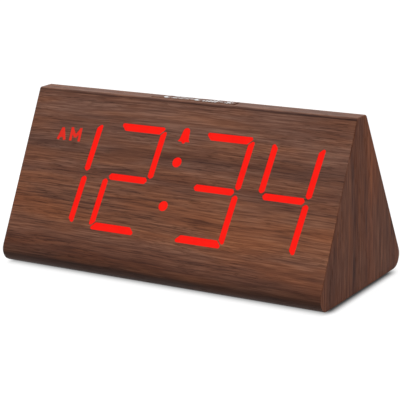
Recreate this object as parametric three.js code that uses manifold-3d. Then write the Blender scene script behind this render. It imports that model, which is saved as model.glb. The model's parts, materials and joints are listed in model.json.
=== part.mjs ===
// Wooden digital alarm clock: a wedge-shaped, wood-faced case with a red seven-segment display that shines
// through its leaning front, a snooze bar in the narrow top, and the controls on a panel in the leaning back.
// Millimetres. +X is to the right seen from the front, +Y to the back, +Z up. The origin is the middle of the
// footprint, on the surface that the clock stands on.

import * as THREE from 'three';
import { mergeVertices } from 'three/addons/utils/BufferGeometryUtils.js';
import { ConvexGeometry } from 'three/addons/geometries/ConvexGeometry.js';
import Module from 'manifold-3d';

// Case: depths are between the sharp corners of the outline, before they are rounded.
const caseLength = 200;
const caseHeight = 93;
const baseDepth = 104;
const topDepth = 10.8;
const wall = 5;
const baseCornerRadius = 7.8;
const topFrontRadius = 1.5;
const topBackRadius = 2;
const insideCornerRadius = 0.4;
const mitreGlueGap = 0.3;

// Clearances that every assembly uses.
const seatGap = 0.3;
const runningGap = 0.25;
const overrun = 2;

// Feet
const footStand = 1;
const footThickness = 2;
const footRadius = 6;
const footEndInset = 18;
const footEdgeInset = 21;

// Display: its pocket keeps these insets to the sharp edges of the front slope and to the ends of the case, and
// the digits fill the pocket between these margins and gaps.
const skinThickness = 0.8;
const displayOffset = -0.8;
const displayEndInset = 11;
const displayTopInset = 13;
const displayBaseInset = 22.5;
const displaySideMargin = 4.6;
const displayEdgeMargin = 5.96;
const digitLift = 1.25;
const digitGap = 10.1;
const colonGap = 23;
const slantShare = 0.104;
const segmentWidth = 4;
const uprightWidth = 3.4;
const middleWidth = 3.5;
const mitreStandoff = 0.6;
const middleStandoff = 1.25;
const barRound = 0.9;
const tipChamfer = 1.2;
const tipTrim = 0.7;
const shoulder = 1.4;
const markClearance = 0.12;
const guideThickness = 0.5;
const guideMargin = 1.2;
const diffuserThickness = 0.4;
const reflectorDepth = 4.6;
const reflectorFlangeReach = 4.2;
const cavityInset = 0.1;
const stakeRadius = 1.1;
const stakeHeadRadius = 1.9;
const stakeHeadHeight = 0.9;
const boardThickness = 1.6;
const ledLength = 2;
const ledHeight = 0.6;
const driverChipLength = 18;
const driverChipHeight = 7.6;
const chipThickness = 1.6;

// Colon, bell and AM lights: drops are below the digits' top row, and the letters stand beside the first digit.
const colonDotRadius = 2.7;
const bellDrop = 1.2;
const bellHeight = 8.7;
const bellMouthRadius = 3.6;
const bellCrownRadius = 2.1;
const bellLipHeight = 1;
const clapperRadius = 1.1;
const letterDrop = 7.3;
const letterHeight = 7.6;
const letterStroke = 1.6;
const letterAWidth = 6;
const letterMWidth = 7.3;
const letterGap = 2.45;
const letterShift = 3;

// Snooze bar: depths are below the top face.
const snoozeLength = 52;
const snoozeWidth = 6.4;
const snoozeProud = 0.4;
const snoozeDepth = 6.2;
const snoozeEdge = 0.5;
const snoozeTravel = 0.8;
const snoozeSlotDepth = 8.5;
const snoozeEarReach = 3;
const snoozeEarWidth = 3.6;
const snoozeEarThickness = 1.1;
const snoozePostRadius = 1.5;
const snoozePostInset = 6;
const snoozePostLength = 4.8;
const snoozeStemLength = 6;
const snoozeStemWidth = 4;
const snoozeHousingDepth = 8.9;
const snoozeHousingHeight = 3.1;
const snoozeHousingOverhang = 5;
const snoozeBoardThickness = 1.4;
const snoozeBoardWidth = 9.6;

// Tact switches
const tactSide = 6;
const tactHeight = 3.5;
const tactPlungerRadius = 1.7;
const tactPlungerHeight = 1;

// Rear panel: heights are up the rear slope from its sharp lower edge.
const panelLength = 160;
const panelHeight = 46;
const panelCentreHeight = 46;
const panelThickness = 2;
const panelSink = 0.2;
const panelLedge = 4;
const panelCornerRadius = 3;
const controlRowOffset = 9;
const postLength = 11.7;
const postRadius = 2.4;
const postEndInset = 5.5;
const postEdgeInset = 5.4;

// Panel screws
const screwHeadRadius = 2.1;
const screwHeadHeight = 1.1;
const screwShankRadius = 1;
const screwLength = 4;
const screwInset = 2.6;
const screwSlotWidth = 0.6;
const screwSlotDepth = 0.6;
const screwSlotLength = 2.6;

// Rear push buttons
const buttonRadius = 3.5;
const buttonProud = 0.8;
const buttonEdge = 0.4;
const buttonFlangeReach = 1.2;
const buttonFlangeThickness = 1;
const buttonStemRadius = 2;
const buttonTravel = 0.5;
const buttonPitch = 15;

// Slide switches and dimmer
const sliderKnobLength = 3.2;
const sliderKnobHeight = 3;
const sliderProud = 0.6;
const sliderRootDepth = 4;
const sliderStemSide = 1.6;
const sliderStemReach = 0.8;
const slideBodyHeight = 5;
const slideBodyWidth = 6;
const slideBodyMargin = 2.4;
const slideTravel = 3;
const dimmerTravel = 10;
const slidePitch = 15;

// Power inlet
const jackSide = 10;
const jackCollarRadius = 3.8;
const jackBoreRadius = 3.1;
const jackBoreDepth = 9.5;
const jackPinRadius = 1;
const jackPinSink = 1.2;
const jackShoulderDepth = 3.6;

// Charging outlet
const usbLength = 13.2;
const usbHeight = 5.8;
const usbWall = 0.4;
const usbFloor = 0.8;
const usbTongueLength = 11;
const usbTongueThickness = 1.9;
const usbTongueSink = 1;

// Backup cell and its cap
const cellRadius = 10;
const cellThickness = 3.2;
const capRadius = 12;
const capBossRadius = 9;
const capBossLength = 2;
const capLugReach = 1.6;
const capLugWidth = 5;
const capLugThickness = 1.2;
const capSlotLength = 13;
const capSlotWidth = 1.8;
const capSlotDepth = 1;
const holderWall = 1.2;
const holderFloor = 1.2;
const holderFootRadius = 7;

// Speaker
const speakerRadius = 12;
const speakerDepth = 5;
const speakerRim = 1.6;
const speakerMagnetRadius = 6;
const speakerMagnetDepth = 2.4;
const coneThickness = 0.5;
const coneDepth = 1.6;
const grilleSlots = 5;
const grillePitch = 3.4;
const grilleSlotHeight = 1.6;
const grilleSlotLength = 18;

// Parts on the control board's inner side, and leads
const clockChipSide = 12;
const crystalLength = 8;
const crystalRadius = 1.5;
const ribbonWidth = 12;
const ribbonThickness = 1;
const ribbonPlugHeight = 5;
const ribbonPlugDepth = 3;
const leadRadius = 0.8;
const leadStraight = 3;

// Counts
const cornerSteps = 12;
const barRoundSteps = 3;
const digitCount = 4;
const roundSides = 24;
const smallSides = 12;
const capLugs = 3;
const leadSides = 8;
const leadSteps = 18;

// Places as shares of what carries them: control columns of the panel's half length, stakes of the display
// board's half length and half height, and the colon's dots of the digits' rise.
const buttonColumnShare = -0.725;
const jackColumnShare = -0.725;
const usbColumnShare = -0.5;
const slideColumnShare = -0.25;
const dimmerColumnShare = 0.115;
const speakerColumnShare = 0.4;
const capColumnShare = 0.75;
const stakeRowShares = [-0.9, 0.9];
const stakeColumnShares = [-0.52, 0.52];
const ribbonColumnShare = -0.5;
const colonRiseShare = 0.432;

// Derived sizes
const rowHalf = segmentWidth / 2;
const uprightHalf = uprightWidth / 2;
const middleHalf = middleWidth / 2;
const lean = Math.atan2((baseDepth - topDepth) / 2, caseHeight);
const leanSine = Math.sin(lean);
const leanCosine = Math.cos(lean);
const slopeLength = Math.hypot(caseHeight, (baseDepth - topDepth) / 2);
const pocketLength = caseLength - 2 * displayEndInset;
const pocketHeight = slopeLength - displayTopInset - displayBaseInset;
const pocketCentre = displayBaseInset + pocketHeight / 2;
const middleRowHeight = pocketCentre + digitLift;
const digitsLength = pocketLength - 2 * displaySideMargin - 2 * digitGap - colonGap;
const digitWidth = digitsLength / digitCount - segmentWidth;
const digitRise = pocketHeight / 2 - displayEdgeMargin;
const colonDotRise = digitRise * colonRiseShare;
const guideFront = -skinThickness - seatGap;
const diffuserFront = guideFront - guideThickness - seatGap;
const reflectorFront = diffuserFront - diffuserThickness - seatGap;
const reflectorBack = reflectorFront - reflectorDepth;
const displayBoardFront = reflectorBack - seatGap;
const displayBoardBack = displayBoardFront - boardThickness;
const displayBoardLength = pocketLength + 2 * reflectorFlangeReach;
const displayBoardHeight = pocketHeight - 2 * seatGap;
const panelBack = -panelSink - panelThickness;
const rebateDepth = panelSink + panelThickness + seatGap;
const controlBoardFront = panelBack - postLength - seatGap;
const controlBoardBack = controlBoardFront - boardThickness;
const onBoard = controlBoardFront + seatGap;
const windowLength = panelLength - 2 * panelLedge;
const windowHeight = panelHeight - 2 * panelLedge;
const controlBoardLength = windowLength - 2 * (seatGap + overrun);
const controlBoardHeight = windowHeight - 2 * (seatGap + overrun);
const upperRow = panelCentreHeight + controlRowOffset;
const lowerRow = panelCentreHeight - controlRowOffset;

// Solids

const wasm = await Module();
wasm.setup();

// A closed geometry as a solid that can be joined and cut.
function solidOf(geometry) {
  const bare = geometry.clone();
  bare.deleteAttribute('normal');
  bare.deleteAttribute('uv');
  const merged = mergeVertices(bare);
  const corners = merged.index.array;
  const triangles = [];
  for (let i = 0; i < corners.length; i += 3) {
    const [a, b, c] = [corners[i], corners[i + 1], corners[i + 2]];
    if (a !== b && b !== c && c !== a) {
      triangles.push(a, b, c);
    }
  }
  return new wasm.Manifold(new wasm.Mesh({
    numProp: 3,
    vertProperties: merged.attributes.position.array,
    triVerts: new Uint32Array(triangles),
  }));
}

function geometryOf(solid) {
  const mesh = solid.getMesh();
  const geometry = new THREE.BufferGeometry();
  geometry.setAttribute('position', new THREE.BufferAttribute(mesh.vertProperties, mesh.numProp));
  geometry.setIndex(new THREE.BufferAttribute(mesh.triVerts, 1));
  return geometry;
}

function join(...geometries) {
  return geometryOf(geometries.map(solidOf).reduce((whole, piece) => whole.add(piece)));
}

function cut(geometry, ...cutters) {
  return geometryOf(cutters.map(solidOf).reduce((rest, cutter) => rest.subtract(cutter), solidOf(geometry)));
}

// Shapes. In a frame of its own each has its length across, its height up, and lies between two levels.

function plate(length, height, low, high, across = 0, up = 0) {
  return new THREE.BoxGeometry(length, height, high - low).translate(across, up, (low + high) / 2);
}

function disc(radius, low, high, across = 0, up = 0, sides = roundSides) {
  const cylinder = new THREE.CylinderGeometry(radius, radius, high - low, sides);
  return cylinder.rotateX(Math.PI / 2).translate(across, up, (low + high) / 2);
}

function prism(points, low, high) {
  const outline = new THREE.Shape(points.map(([across, up]) => new THREE.Vector2(across, up)));
  return new THREE.ExtrudeGeometry(outline, { depth: high - low, bevelEnabled: false }).translate(0, 0, low);
}

// A body of revolution from pairs of radius and level, listed from its low end on the axis to its high end.
function turned(profile, across = 0, up = 0, sides = roundSides) {
  const points = profile.map(([radius, level]) => new THREE.Vector2(radius, level));
  return new THREE.LatheGeometry(points, sides).rotateX(Math.PI / 2).translate(across, up, 0);
}

// A round pad with its upper rim chamfered.
function pad(radius, low, high, edge, across = 0, up = 0) {
  return turned([[0, low], [radius, low], [radius, high - edge], [radius - edge, high], [0, high]], across, up);
}

// A plate with its four upright corners rounded.
function roundedPlate(length, height, radius, low, high, up) {
  const x = length / 2;
  const y = height / 2;
  const outline = new THREE.Shape();
  outline.absarc(x - radius, y - radius, radius, 0, Math.PI / 2);
  outline.absarc(radius - x, y - radius, radius, Math.PI / 2, Math.PI);
  outline.absarc(radius - x, radius - y, radius, Math.PI, Math.PI * 1.5);
  outline.absarc(x - radius, radius - y, radius, Math.PI * 1.5, Math.PI * 2);
  const options = { depth: high - low, bevelEnabled: false, curveSegments: cornerSteps / 3 };
  return new THREE.ExtrudeGeometry(outline, options).translate(0, up, low);
}

// Frames: across, up and outward for each face of the case, from the face's sharp lower edge.

function frame(across, up, corner) {
  const outward = new THREE.Vector3().crossVectors(across, up);
  return new THREE.Matrix4().makeBasis(across, up, outward).setPosition(corner);
}

const right = new THREE.Vector3(1, 0, 0);
const left = new THREE.Vector3(-1, 0, 0);
const back = new THREE.Vector3(0, 1, 0);
const frontFrame = frame(
  right, new THREE.Vector3(0, leanSine, leanCosine), new THREE.Vector3(0, -baseDepth / 2, footStand));
const rearFrame = frame(
  left, new THREE.Vector3(0, -leanSine, leanCosine), new THREE.Vector3(0, baseDepth / 2, footStand));
const topFrame = frame(right, back, new THREE.Vector3(0, 0, footStand + caseHeight));
const baseFrame = frame(right, back, new THREE.Vector3(0, 0, footStand));

// Materials

function finish(color, roughness, metalness = 0, extra = {}) {
  return () => new THREE.MeshStandardMaterial({ color, roughness, metalness, ...extra });
}

const walnut = finish(0x704a3c, 0.55);
const walnutEnd = finish(0x5c3c30, 0.6);
const litRed = finish(0xff2319, 0.4, 0, { emissive: 0xff2319, emissiveIntensity: 1 });
const blackPlastic = finish(0x1c1c1e, 0.5);
const greyPlastic = finish(0x55565a, 0.5);
const snoozePlastic = finish(0x6b493b, 0.5);
const whitePlastic = finish(0xeceae4, 0.5);
const milkyFilm = finish(0xf4f2ea, 0.7);
const circuitGreen = finish(0x1f5a3a, 0.5);
const chipBlack = finish(0x18181a, 0.4);
const steel = finish(0xb9bcc0, 0.3, 1);
const rubber = finish(0x202020, 0.9);
const paperCone = finish(0x2b2a28, 0.9);
const leadGrey = finish(0x8b8d90, 0.6);

function part(name, geometry, material) {
  const mesh = new THREE.Mesh(geometry, material());
  mesh.name = name;
  return mesh;
}

function assembly(faceFrame, ...parts) {
  const group = new THREE.Group();
  group.applyMatrix4(faceFrame);
  group.add(...parts);
  return group;
}

// Case

// The case's cross-section drawn in from its outer face by an inset, with each corner's radius drawn in alike.
function caseOutline(inset) {
  const baseHalf = baseDepth / 2 - inset * (1 + leanSine) / leanCosine;
  const topHalf = topDepth / 2 - inset * (1 - leanSine) / leanCosine;
  const low = footStand + inset;
  const high = footStand + caseHeight - inset;
  const corners = [[-baseHalf, low], [baseHalf, low], [topHalf, high], [-topHalf, high]];
  const radii = [baseCornerRadius, baseCornerRadius, topBackRadius, topFrontRadius];
  const places = corners.map(([y, z]) => new THREE.Vector2(y, z));
  return places.flatMap((corner, index) => roundedCorner(
    places[(index + 3) % 4], corner, places[(index + 1) % 4],
    Math.max(radii[index] - inset, insideCornerRadius)));
}

// Points of an arc that rounds a corner between two others, counterclockwise.
function roundedCorner(before, corner, after, radius, stepCount = cornerSteps) {
  const toBefore = before.clone().sub(corner).normalize();
  const toAfter = after.clone().sub(corner).normalize();
  const halfAngle = toBefore.angleTo(toAfter) / 2;
  const inward = toBefore.clone().add(toAfter).normalize();
  const centre = inward.multiplyScalar(radius / Math.sin(halfAngle)).add(corner);
  const start = toBefore.clone().multiplyScalar(radius / Math.tan(halfAngle)).add(corner).sub(centre);
  const turn = Math.PI - 2 * halfAngle;
  const steps = Array.from({ length: stepCount + 1 }, (_, step) => turn * step / stepCount);
  return steps.map((angle) => start.clone().rotateAround(new THREE.Vector2(), angle).add(centre));
}

// A bar of the case's cross-section, centred on the middle of the clock.
function caseBar(inset, length) {
  const lengthwise = new THREE.Matrix4().makeBasis(back, new THREE.Vector3(0, 0, 1), right);
  const section = caseOutline(inset).map(({ x, y }) => [x, y]);
  return prism(section, -length / 2, length / 2).applyMatrix4(lengthwise);
}

// An end board: full size at its outer face, mitred all round to the inner wall's size. side is 1 or -1.
function endBoard(side, outerInset, outerPlace, innerInset, innerPlace) {
  const ring = (inset, place) => caseOutline(inset).map(({ x, y }) => new THREE.Vector3(side * place, x, y));
  return new ConvexGeometry([...ring(outerInset, outerPlace), ...ring(innerInset, innerPlace)]);
}

function endPanel(side) {
  return endBoard(side, 0, caseLength / 2, wall, caseLength / 2 - wall);
}

// What an end board and its glue line take from the wrap.
function endCutter(side) {
  const face = caseLength / 2 - mitreGlueGap;
  return endBoard(side, -overrun, face + overrun, wall + overrun, face - wall - overrun);
}

function footPlaces() {
  const x = caseLength / 2 - footEndInset;
  const y = baseDepth / 2 - footEdgeInset;
  return { front_left: [-x, -y], front_right: [x, -y], rear_left: [-x, y], rear_right: [x, y] };
}

function caseWrap() {
  const display = [
    plate(pocketLength, pocketHeight, -wall - overrun, -skinThickness, displayOffset, pocketCentre),
    ...litOutlines().map((outline) => prism(
      grown(outline, markClearance), -skinThickness - overrun, overrun)),
    ...displayScrewPlaces().map(([x, y]) => disc(screwShankRadius + markClearance,
      -wall - overrun, -wall + screwLength - panelThickness + seatGap, x, y, smallSides)),
  ];
  const rear = [
    roundedPlate(panelLength + 2 * seatGap, panelHeight + 2 * seatGap, panelCornerRadius + seatGap,
      -rebateDepth, overrun, panelCentreHeight),
    plate(windowLength, windowHeight, -wall - overrun, overrun, 0, panelCentreHeight),
    ...panelScrewPlaces().map(([x, y]) => disc(screwShankRadius + markClearance,
      -panelSink - screwLength - seatGap, overrun, x, y, smallSides)),
  ];
  const top = [
    plate(snoozeLength + 2 * runningGap, snoozeWidth + 2 * runningGap, -snoozeSlotDepth, overrun),
  ];
  const base = Object.values(footPlaces()).map(([x, y]) => disc(
    footRadius + seatGap, -overrun, footThickness - footStand + seatGap, x, y));
  return cut(
    caseBar(0, caseLength),
    caseBar(wall, caseLength + overrun),
    endCutter(1),
    endCutter(-1),
    ...display.map((cutter) => cutter.applyMatrix4(frontFrame)),
    ...rear.map((cutter) => cutter.applyMatrix4(rearFrame)),
    ...top.map((cutter) => cutter.applyMatrix4(topFrame)),
    ...base.map((cutter) => cutter.applyMatrix4(baseFrame)),
  );
}

function caseParts() {
  const feet = Object.entries(footPlaces()).map(([place, [x, y]]) => part(
    `foot_${place}`, disc(footRadius, -footStand, footThickness - footStand, x, y), rubber));
  return [
    part('case_wrap', caseWrap(), walnut),
    part('left_end_panel', endPanel(-1), walnutEnd),
    part('right_end_panel', endPanel(1), walnutEnd),
    assembly(baseFrame, ...feet),
  ];
}

// Display

// The seven bars of an upright digit round its own middle, by the usual letters from the top clockwise.
function digitBars() {
  const reach = digitWidth / 2 - mitreStandoff;
  const tip = reach + rowHalf - tipChamfer;
  const row = [
    [rowHalf - reach, -rowHalf], [reach - rowHalf, -rowHalf], [tip, rowHalf - tipChamfer],
    [tip - tipTrim, rowHalf], [tipTrim - tip, rowHalf], [-tip, rowHalf - tipChamfer],
  ];
  const top = row.map(([x, y]) => [x, y + digitRise]);
  const span = digitWidth / 2 - middleStandoff;
  const middle = [
    [-span, 0], [shoulder - span, -middleHalf], [span - shoulder, -middleHalf],
    [span, 0], [span - shoulder, middleHalf], [shoulder - span, middleHalf],
  ];
  const climb = digitRise - mitreStandoff;
  const crest = climb + uprightHalf - tipChamfer;
  const upright = [
    [0, middleStandoff], [uprightHalf, middleStandoff + shoulder], [uprightHalf, crest - tipTrim],
    [uprightHalf - tipChamfer, crest], [-uprightHalf, climb - uprightHalf],
    [-uprightHalf, middleStandoff + shoulder],
  ].map(([x, y]) => [x + digitWidth / 2, y]);
  return {
    a: top,
    b: upright,
    c: mirrored(upright, 1, -1),
    d: mirrored(top, 1, -1),
    e: mirrored(upright, -1, -1),
    f: mirrored(upright, -1, 1),
    g: middle,
  };
}

// An outline turned over left to right, top to bottom or both, still counterclockwise.
function mirrored(outline, sideways, upwards) {
  const turnedOver = outline.map(([x, y]) => [x * sideways, y * upwards]);
  return sideways * upwards < 0 ? turnedOver.reverse() : turnedOver;
}

// An outline round a centre on the display, leaning as the digits do, in the front's frame.
function slanted(outline, centre) {
  return outline.map(([x, y]) => [centre + x + y * slantShare, middleRowHeight + y]);
}

// A convex counterclockwise outline with each side moved outwards by a distance.
function grown(outline, distance) {
  const corners = outline.map(([x, y]) => new THREE.Vector2(x, y));
  return corners.map((corner, index) => {
    const before = corners[(index + corners.length - 1) % corners.length];
    const after = corners[(index + 1) % corners.length];
    const normals = [corner.clone().sub(before), after.clone().sub(corner)]
      .map((side) => new THREE.Vector2(side.y, -side.x).normalize());
    const spread = distance / (1 + normals[0].dot(normals[1]));
    const moved = normals[0].add(normals[1]).multiplyScalar(spread).add(corner);
    return [moved.x, moved.y];
  });
}

// The digits that are lit, with each digit's place on the display, its lit bars and the bars that it has.
function digits() {
  const inner = (digitWidth + segmentWidth + colonGap) / 2;
  const outer = inner + digitWidth + segmentWidth + digitGap;
  return [
    { name: 'digit_1', centre: displayOffset - outer, lit: 'bc', fitted: 'abcdeg' },
    { name: 'digit_2', centre: displayOffset - inner, lit: 'abdeg', fitted: 'abcdefg' },
    { name: 'digit_3', centre: displayOffset + inner, lit: 'abcdg', fitted: 'abcdefg' },
    { name: 'digit_4', centre: displayOffset + outer, lit: 'bcfg', fitted: 'abcdefg' },
  ];
}

function barOutlines(letters, centre) {
  const bars = digitBars();
  return [...letters].map((letter) => slanted(bars[letter], centre));
}

// A convex counterclockwise outline with its corners rounded.
function rounded(outline, radius, steps) {
  const corners = outline.map(([x, y]) => new THREE.Vector2(x, y));
  return corners
    .flatMap((corner, index) => roundedCorner(
      corners.at(index - 1), corner, corners[(index + 1) % corners.length], radius, steps))
    .map(({ x, y }) => [x, y]);
}

function circle(radius, x, y, sides) {
  const angles = Array.from({ length: sides }, (_, index) => 2 * Math.PI * index / sides);
  return angles.map((angle) => [x + radius * Math.cos(angle), y + radius * Math.sin(angle)]);
}

function colonOutlines() {
  return [colonDotRise, -colonDotRise].map((rise) => slanted(
    circle(colonDotRadius, 0, 0, roundSides).map(([x, y]) => [x, y + rise]), displayOffset));
}

// The bell: a crown that narrows upwards, a flared lip, and the clapper below it.
function bellOutlines() {
  const mouth = -bellHeight / 2 + clapperRadius;
  const crownCentre = bellHeight / 2 - bellCrownRadius;
  const lipTop = mouth + bellLipHeight;
  const dome = circle(bellCrownRadius, 0, crownCentre, smallSides).filter(([, y]) => y >= crownCentre);
  const crown = [[-bellCrownRadius - tipTrim, lipTop], [bellCrownRadius + tipTrim, lipTop], ...dome];
  const lip = [
    [-bellMouthRadius, mouth], [bellMouthRadius, mouth],
    [bellCrownRadius + tipTrim, lipTop + markClearance], [-bellCrownRadius - tipTrim, lipTop + markClearance],
  ];
  const clapper = circle(clapperRadius, 0, mouth, smallSides);
  return [crown, lip, clapper].map((outline) => slanted(
    outline.map(([x, y]) => [x, y + digitRise - bellDrop]), displayOffset));
}

// A straight stroke between two points, as a counterclockwise outline.
function stroke([x0, y0], [x1, y1]) {
  const along = new THREE.Vector2(x1 - x0, y1 - y0).normalize().multiplyScalar(letterStroke / 2);
  return [
    [x0 + along.y, y0 - along.x], [x1 + along.y, y1 - along.x],
    [x1 - along.y, y1 + along.x], [x0 - along.y, y0 + along.x],
  ];
}

function letterOutlines() {
  const rise = (letterHeight - letterStroke) / 2;
  const aSpread = (letterAWidth - letterStroke) / 2;
  const mSpread = (letterMWidth - letterStroke) / 2;
  const letterCentre = digits()[0].centre - letterShift;
  const aCentre = letterCentre - (letterGap + letterMWidth) / 2;
  const mCentre = letterCentre + (letterGap + letterAWidth) / 2;
  const aStrokes = [
    [[-aSpread, -rise - letterStroke / 2], [0, rise]],
    [[0, rise], [aSpread, -rise - letterStroke / 2]],
    [[-aSpread, -letterStroke], [aSpread, -letterStroke]],
  ];
  const mStrokes = [
    [[-mSpread, -rise - letterStroke / 2], [-mSpread, rise + letterStroke / 2]],
    [[-mSpread, rise], [0, -letterStroke]],
    [[0, -letterStroke], [mSpread, rise]],
    [[mSpread, rise + letterStroke / 2], [mSpread, -rise - letterStroke / 2]],
  ];
  const aCore = [[-aSpread / 2, -letterStroke], [aSpread / 2, -letterStroke], [0, rise]];
  const placed = (outlines, centre) => outlines.map((outline) => outline.map(
    ([x, y]) => [x + centre, y + middleRowHeight + digitRise - letterDrop]));
  const drawn = (strokes) => strokes.map(([from, to]) => stroke(from, to));
  return [...placed([...drawn(aStrokes), aCore], aCentre), ...placed(drawn(mStrokes), mCentre)];
}

// The lit marks by node name, each with its outlines in the front's frame.
function litMarks() {
  const marks = digits().map(({ name, lit, centre }) => [name, barOutlines(lit, centre)
    .map((outline) => rounded(outline, barRound, barRoundSteps))]);
  marks.push(['colon', colonOutlines()], ['am_mark', letterOutlines()], ['bell_mark', bellOutlines()]);
  return marks;
}

function litOutlines() {
  return litMarks().flatMap(([, outlines]) => outlines);
}

// The leaning plate behind a mark, as large as the mark and a margin.
function guideOutline(outlines) {
  const upright = outlines.flat().map(
    ([x, y]) => [x - (y - middleRowHeight) * slantShare, y - middleRowHeight]);
  const across = upright.map(([x]) => x);
  const heights = upright.map(([, y]) => y);
  const [low, high] = [Math.min(...heights) - guideMargin, Math.max(...heights) + guideMargin];
  const [first, last] = [Math.min(...across) - guideMargin, Math.max(...across) + guideMargin];
  return slanted([[first, low], [last, low], [last, high], [first, high]], 0);
}

// A light guide: the mark's bars, flush with the wood, standing on a plate behind it.
function lightGuide(outlines) {
  const guidePlate = prism(guideOutline(outlines), guideFront - guideThickness, guideFront);
  const bars = outlines.map((outline) => prism(outline, guideFront - guideThickness, 0));
  return join(guidePlate, ...bars);
}

// The middle of each bar that the display has, for its cavity and its light.
function cavityOutlines() {
  const bars = digits().flatMap(({ fitted, centre }) => barOutlines(fitted, centre));
  return [...bars, ...colonOutlines(), guideOutline(bellOutlines())];
}

function middleOf(outline) {
  const sum = outline.reduce(([sx, sy], [x, y]) => [sx + x, sy + y], [0, 0]);
  return sum.map((value) => value / outline.length);
}

function displayScrewPlaces() {
  const reach = pocketLength / 2 + reflectorFlangeReach / 2;
  return [-reach, reach].map((x) => [displayOffset + x, pocketCentre]);
}

function stakePlaces() {
  return stakeRowShares.flatMap((row) => stakeColumnShares.map((column) => [
    displayOffset + column * displayBoardLength / 2, pocketCentre + row * displayBoardHeight / 2]));
}

// A pin on a moulding that goes through a board and is melted to a head behind it.
function stake(front, boardFront, boardBack, x, y) {
  return join(
    disc(stakeRadius, boardBack - seatGap - stakeHeadHeight, front, x, y, smallSides),
    disc(stakeHeadRadius, boardBack - seatGap - stakeHeadHeight, boardBack - seatGap, x, y, smallSides),
  );
}

function reflector() {
  const block = plate(pocketLength - 2 * seatGap, displayBoardHeight,
    reflectorBack, reflectorFront, displayOffset, pocketCentre);
  const flange = plate(displayBoardLength, displayBoardHeight,
    reflectorBack, -wall - seatGap, displayOffset, pocketCentre);
  const stakes = stakePlaces().map(([x, y]) => stake(
    reflectorBack + seatGap, displayBoardFront, displayBoardBack, x, y));
  const cavities = cavityOutlines().map((outline) => prism(
    grown(outline, -cavityInset), reflectorBack - overrun, reflectorFront + overrun));
  const screwHoles = displayScrewPlaces().map(([x, y]) => disc(
    screwShankRadius + seatGap, reflectorBack - overrun, 0, x, y, smallSides));
  return cut(join(block, flange, ...stakes), ...cavities, ...screwHoles);
}

function displayBoard() {
  const board = plate(displayBoardLength, displayBoardHeight,
    displayBoardBack, displayBoardFront, displayOffset, pocketCentre);
  const lights = cavityOutlines().map(middleOf).map(([x, y]) => plate(
    ledLength, ledLength, displayBoardFront - seatGap, displayBoardFront + ledHeight, x, y));
  const stakeHoles = stakePlaces().map(([x, y]) => disc(
    stakeRadius + seatGap, displayBoardBack - overrun, displayBoardFront + overrun, x, y, smallSides));
  const screwHoles = displayScrewPlaces().map(([x, y]) => disc(
    screwShankRadius + seatGap, displayBoardBack - overrun, displayBoardFront + overrun, x, y, smallSides));
  return cut(join(board, ...lights), ...stakeHoles, ...screwHoles);
}

// A screw with its head's outer face at a level of its frame, driven outwards or inwards.
function screw(headLevel, tipLevel, x, y) {
  const inward = Math.sign(tipLevel - headLevel);
  const headEnd = headLevel + inward * screwHeadHeight;
  const levels = [headLevel, headEnd, headEnd, tipLevel];
  const radii = [screwHeadRadius, screwHeadRadius, screwShankRadius, screwShankRadius];
  const profile = [[0, headLevel], ...radii.map((radius, index) => [radius, levels[index]]), [0, tipLevel]];
  const body = turned(inward > 0 ? profile : profile.reverse(), x, y, smallSides);
  const slotEnd = headLevel + inward * screwSlotDepth;
  const [low, high] = [slotEnd, headLevel - inward * overrun].sort((a, b) => a - b);
  return cut(
    body,
    plate(screwSlotLength, screwSlotWidth, low, high, x, y),
    plate(screwSlotWidth, screwSlotLength, low, high, x, y),
  );
}

function displayParts() {
  const marks = litMarks().map(([name, outlines]) => part(name, lightGuide(outlines), litRed));
  const film = plate(pocketLength - 2 * seatGap, displayBoardHeight,
    diffuserFront - diffuserThickness, diffuserFront, displayOffset, pocketCentre);
  const screws = displayScrewPlaces().map(([x, y], index) => part(
    `display_screw_${['left', 'right'][index]}`,
    screw(displayBoardBack - seatGap - screwHeadHeight, -wall + screwLength - panelThickness, x, y), steel));
  const driver = plate(driverChipLength, driverChipHeight,
    displayBoardBack - seatGap - chipThickness, displayBoardBack - seatGap, displayOffset, middleRowHeight);
  return assembly(
    frontFrame,
    ...marks,
    part('diffuser_film', film, milkyFilm),
    part('segment_reflector', reflector(), whitePlastic),
    part('display_board', displayBoard(), circuitGreen),
    part('display_driver_chip', driver, chipBlack),
    ...screws,
  );
}

// Snooze bar

// Half the room between the sloping walls at a depth below the top face.
function roomAt(depth) {
  return topDepth / 2 + (depth * leanSine - wall) / leanCosine;
}

function snoozePostPlaces() {
  return [-1, 1].map((side) => side * (snoozeLength / 2 - snoozePostInset));
}

function snoozeButton() {
  const low = -snoozeDepth;
  const bar = new THREE.Shape([
    new THREE.Vector2(-snoozeWidth / 2, low),
    new THREE.Vector2(snoozeWidth / 2, low),
    new THREE.Vector2(snoozeWidth / 2, snoozeProud - snoozeEdge),
    new THREE.Vector2(snoozeWidth / 2 - snoozeEdge, snoozeProud),
    new THREE.Vector2(snoozeEdge - snoozeWidth / 2, snoozeProud),
    new THREE.Vector2(-snoozeWidth / 2, snoozeProud - snoozeEdge),
  ]);
  const lengthwise = new THREE.Matrix4().makeBasis(back, new THREE.Vector3(0, 0, 1), right);
  const body = new THREE.ExtrudeGeometry(bar, { depth: snoozeLength, bevelEnabled: false })
    .translate(0, 0, -snoozeLength / 2).applyMatrix4(lengthwise);
  const earTop = -wall - seatGap;
  const ears = plate(snoozeLength + 2 * snoozeEarReach, snoozeEarWidth, earTop - snoozeEarThickness, earTop);
  const posts = snoozePostPlaces().map((x) => disc(
    snoozePostRadius, low - snoozePostLength, low + seatGap, x, 0, smallSides));
  const stem = plate(snoozeStemLength, snoozeStemWidth, plungerTop() + seatGap, low + seatGap);
  return join(body, ears, ...posts, stem);
}

// Levels of the snooze switch below the top face.
function snoozeBoardTop() {
  return -snoozeHousingDepth - snoozeHousingHeight - seatGap;
}

function plungerTop() {
  return -snoozeHousingDepth + tactPlungerHeight - seatGap / 2;
}

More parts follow.
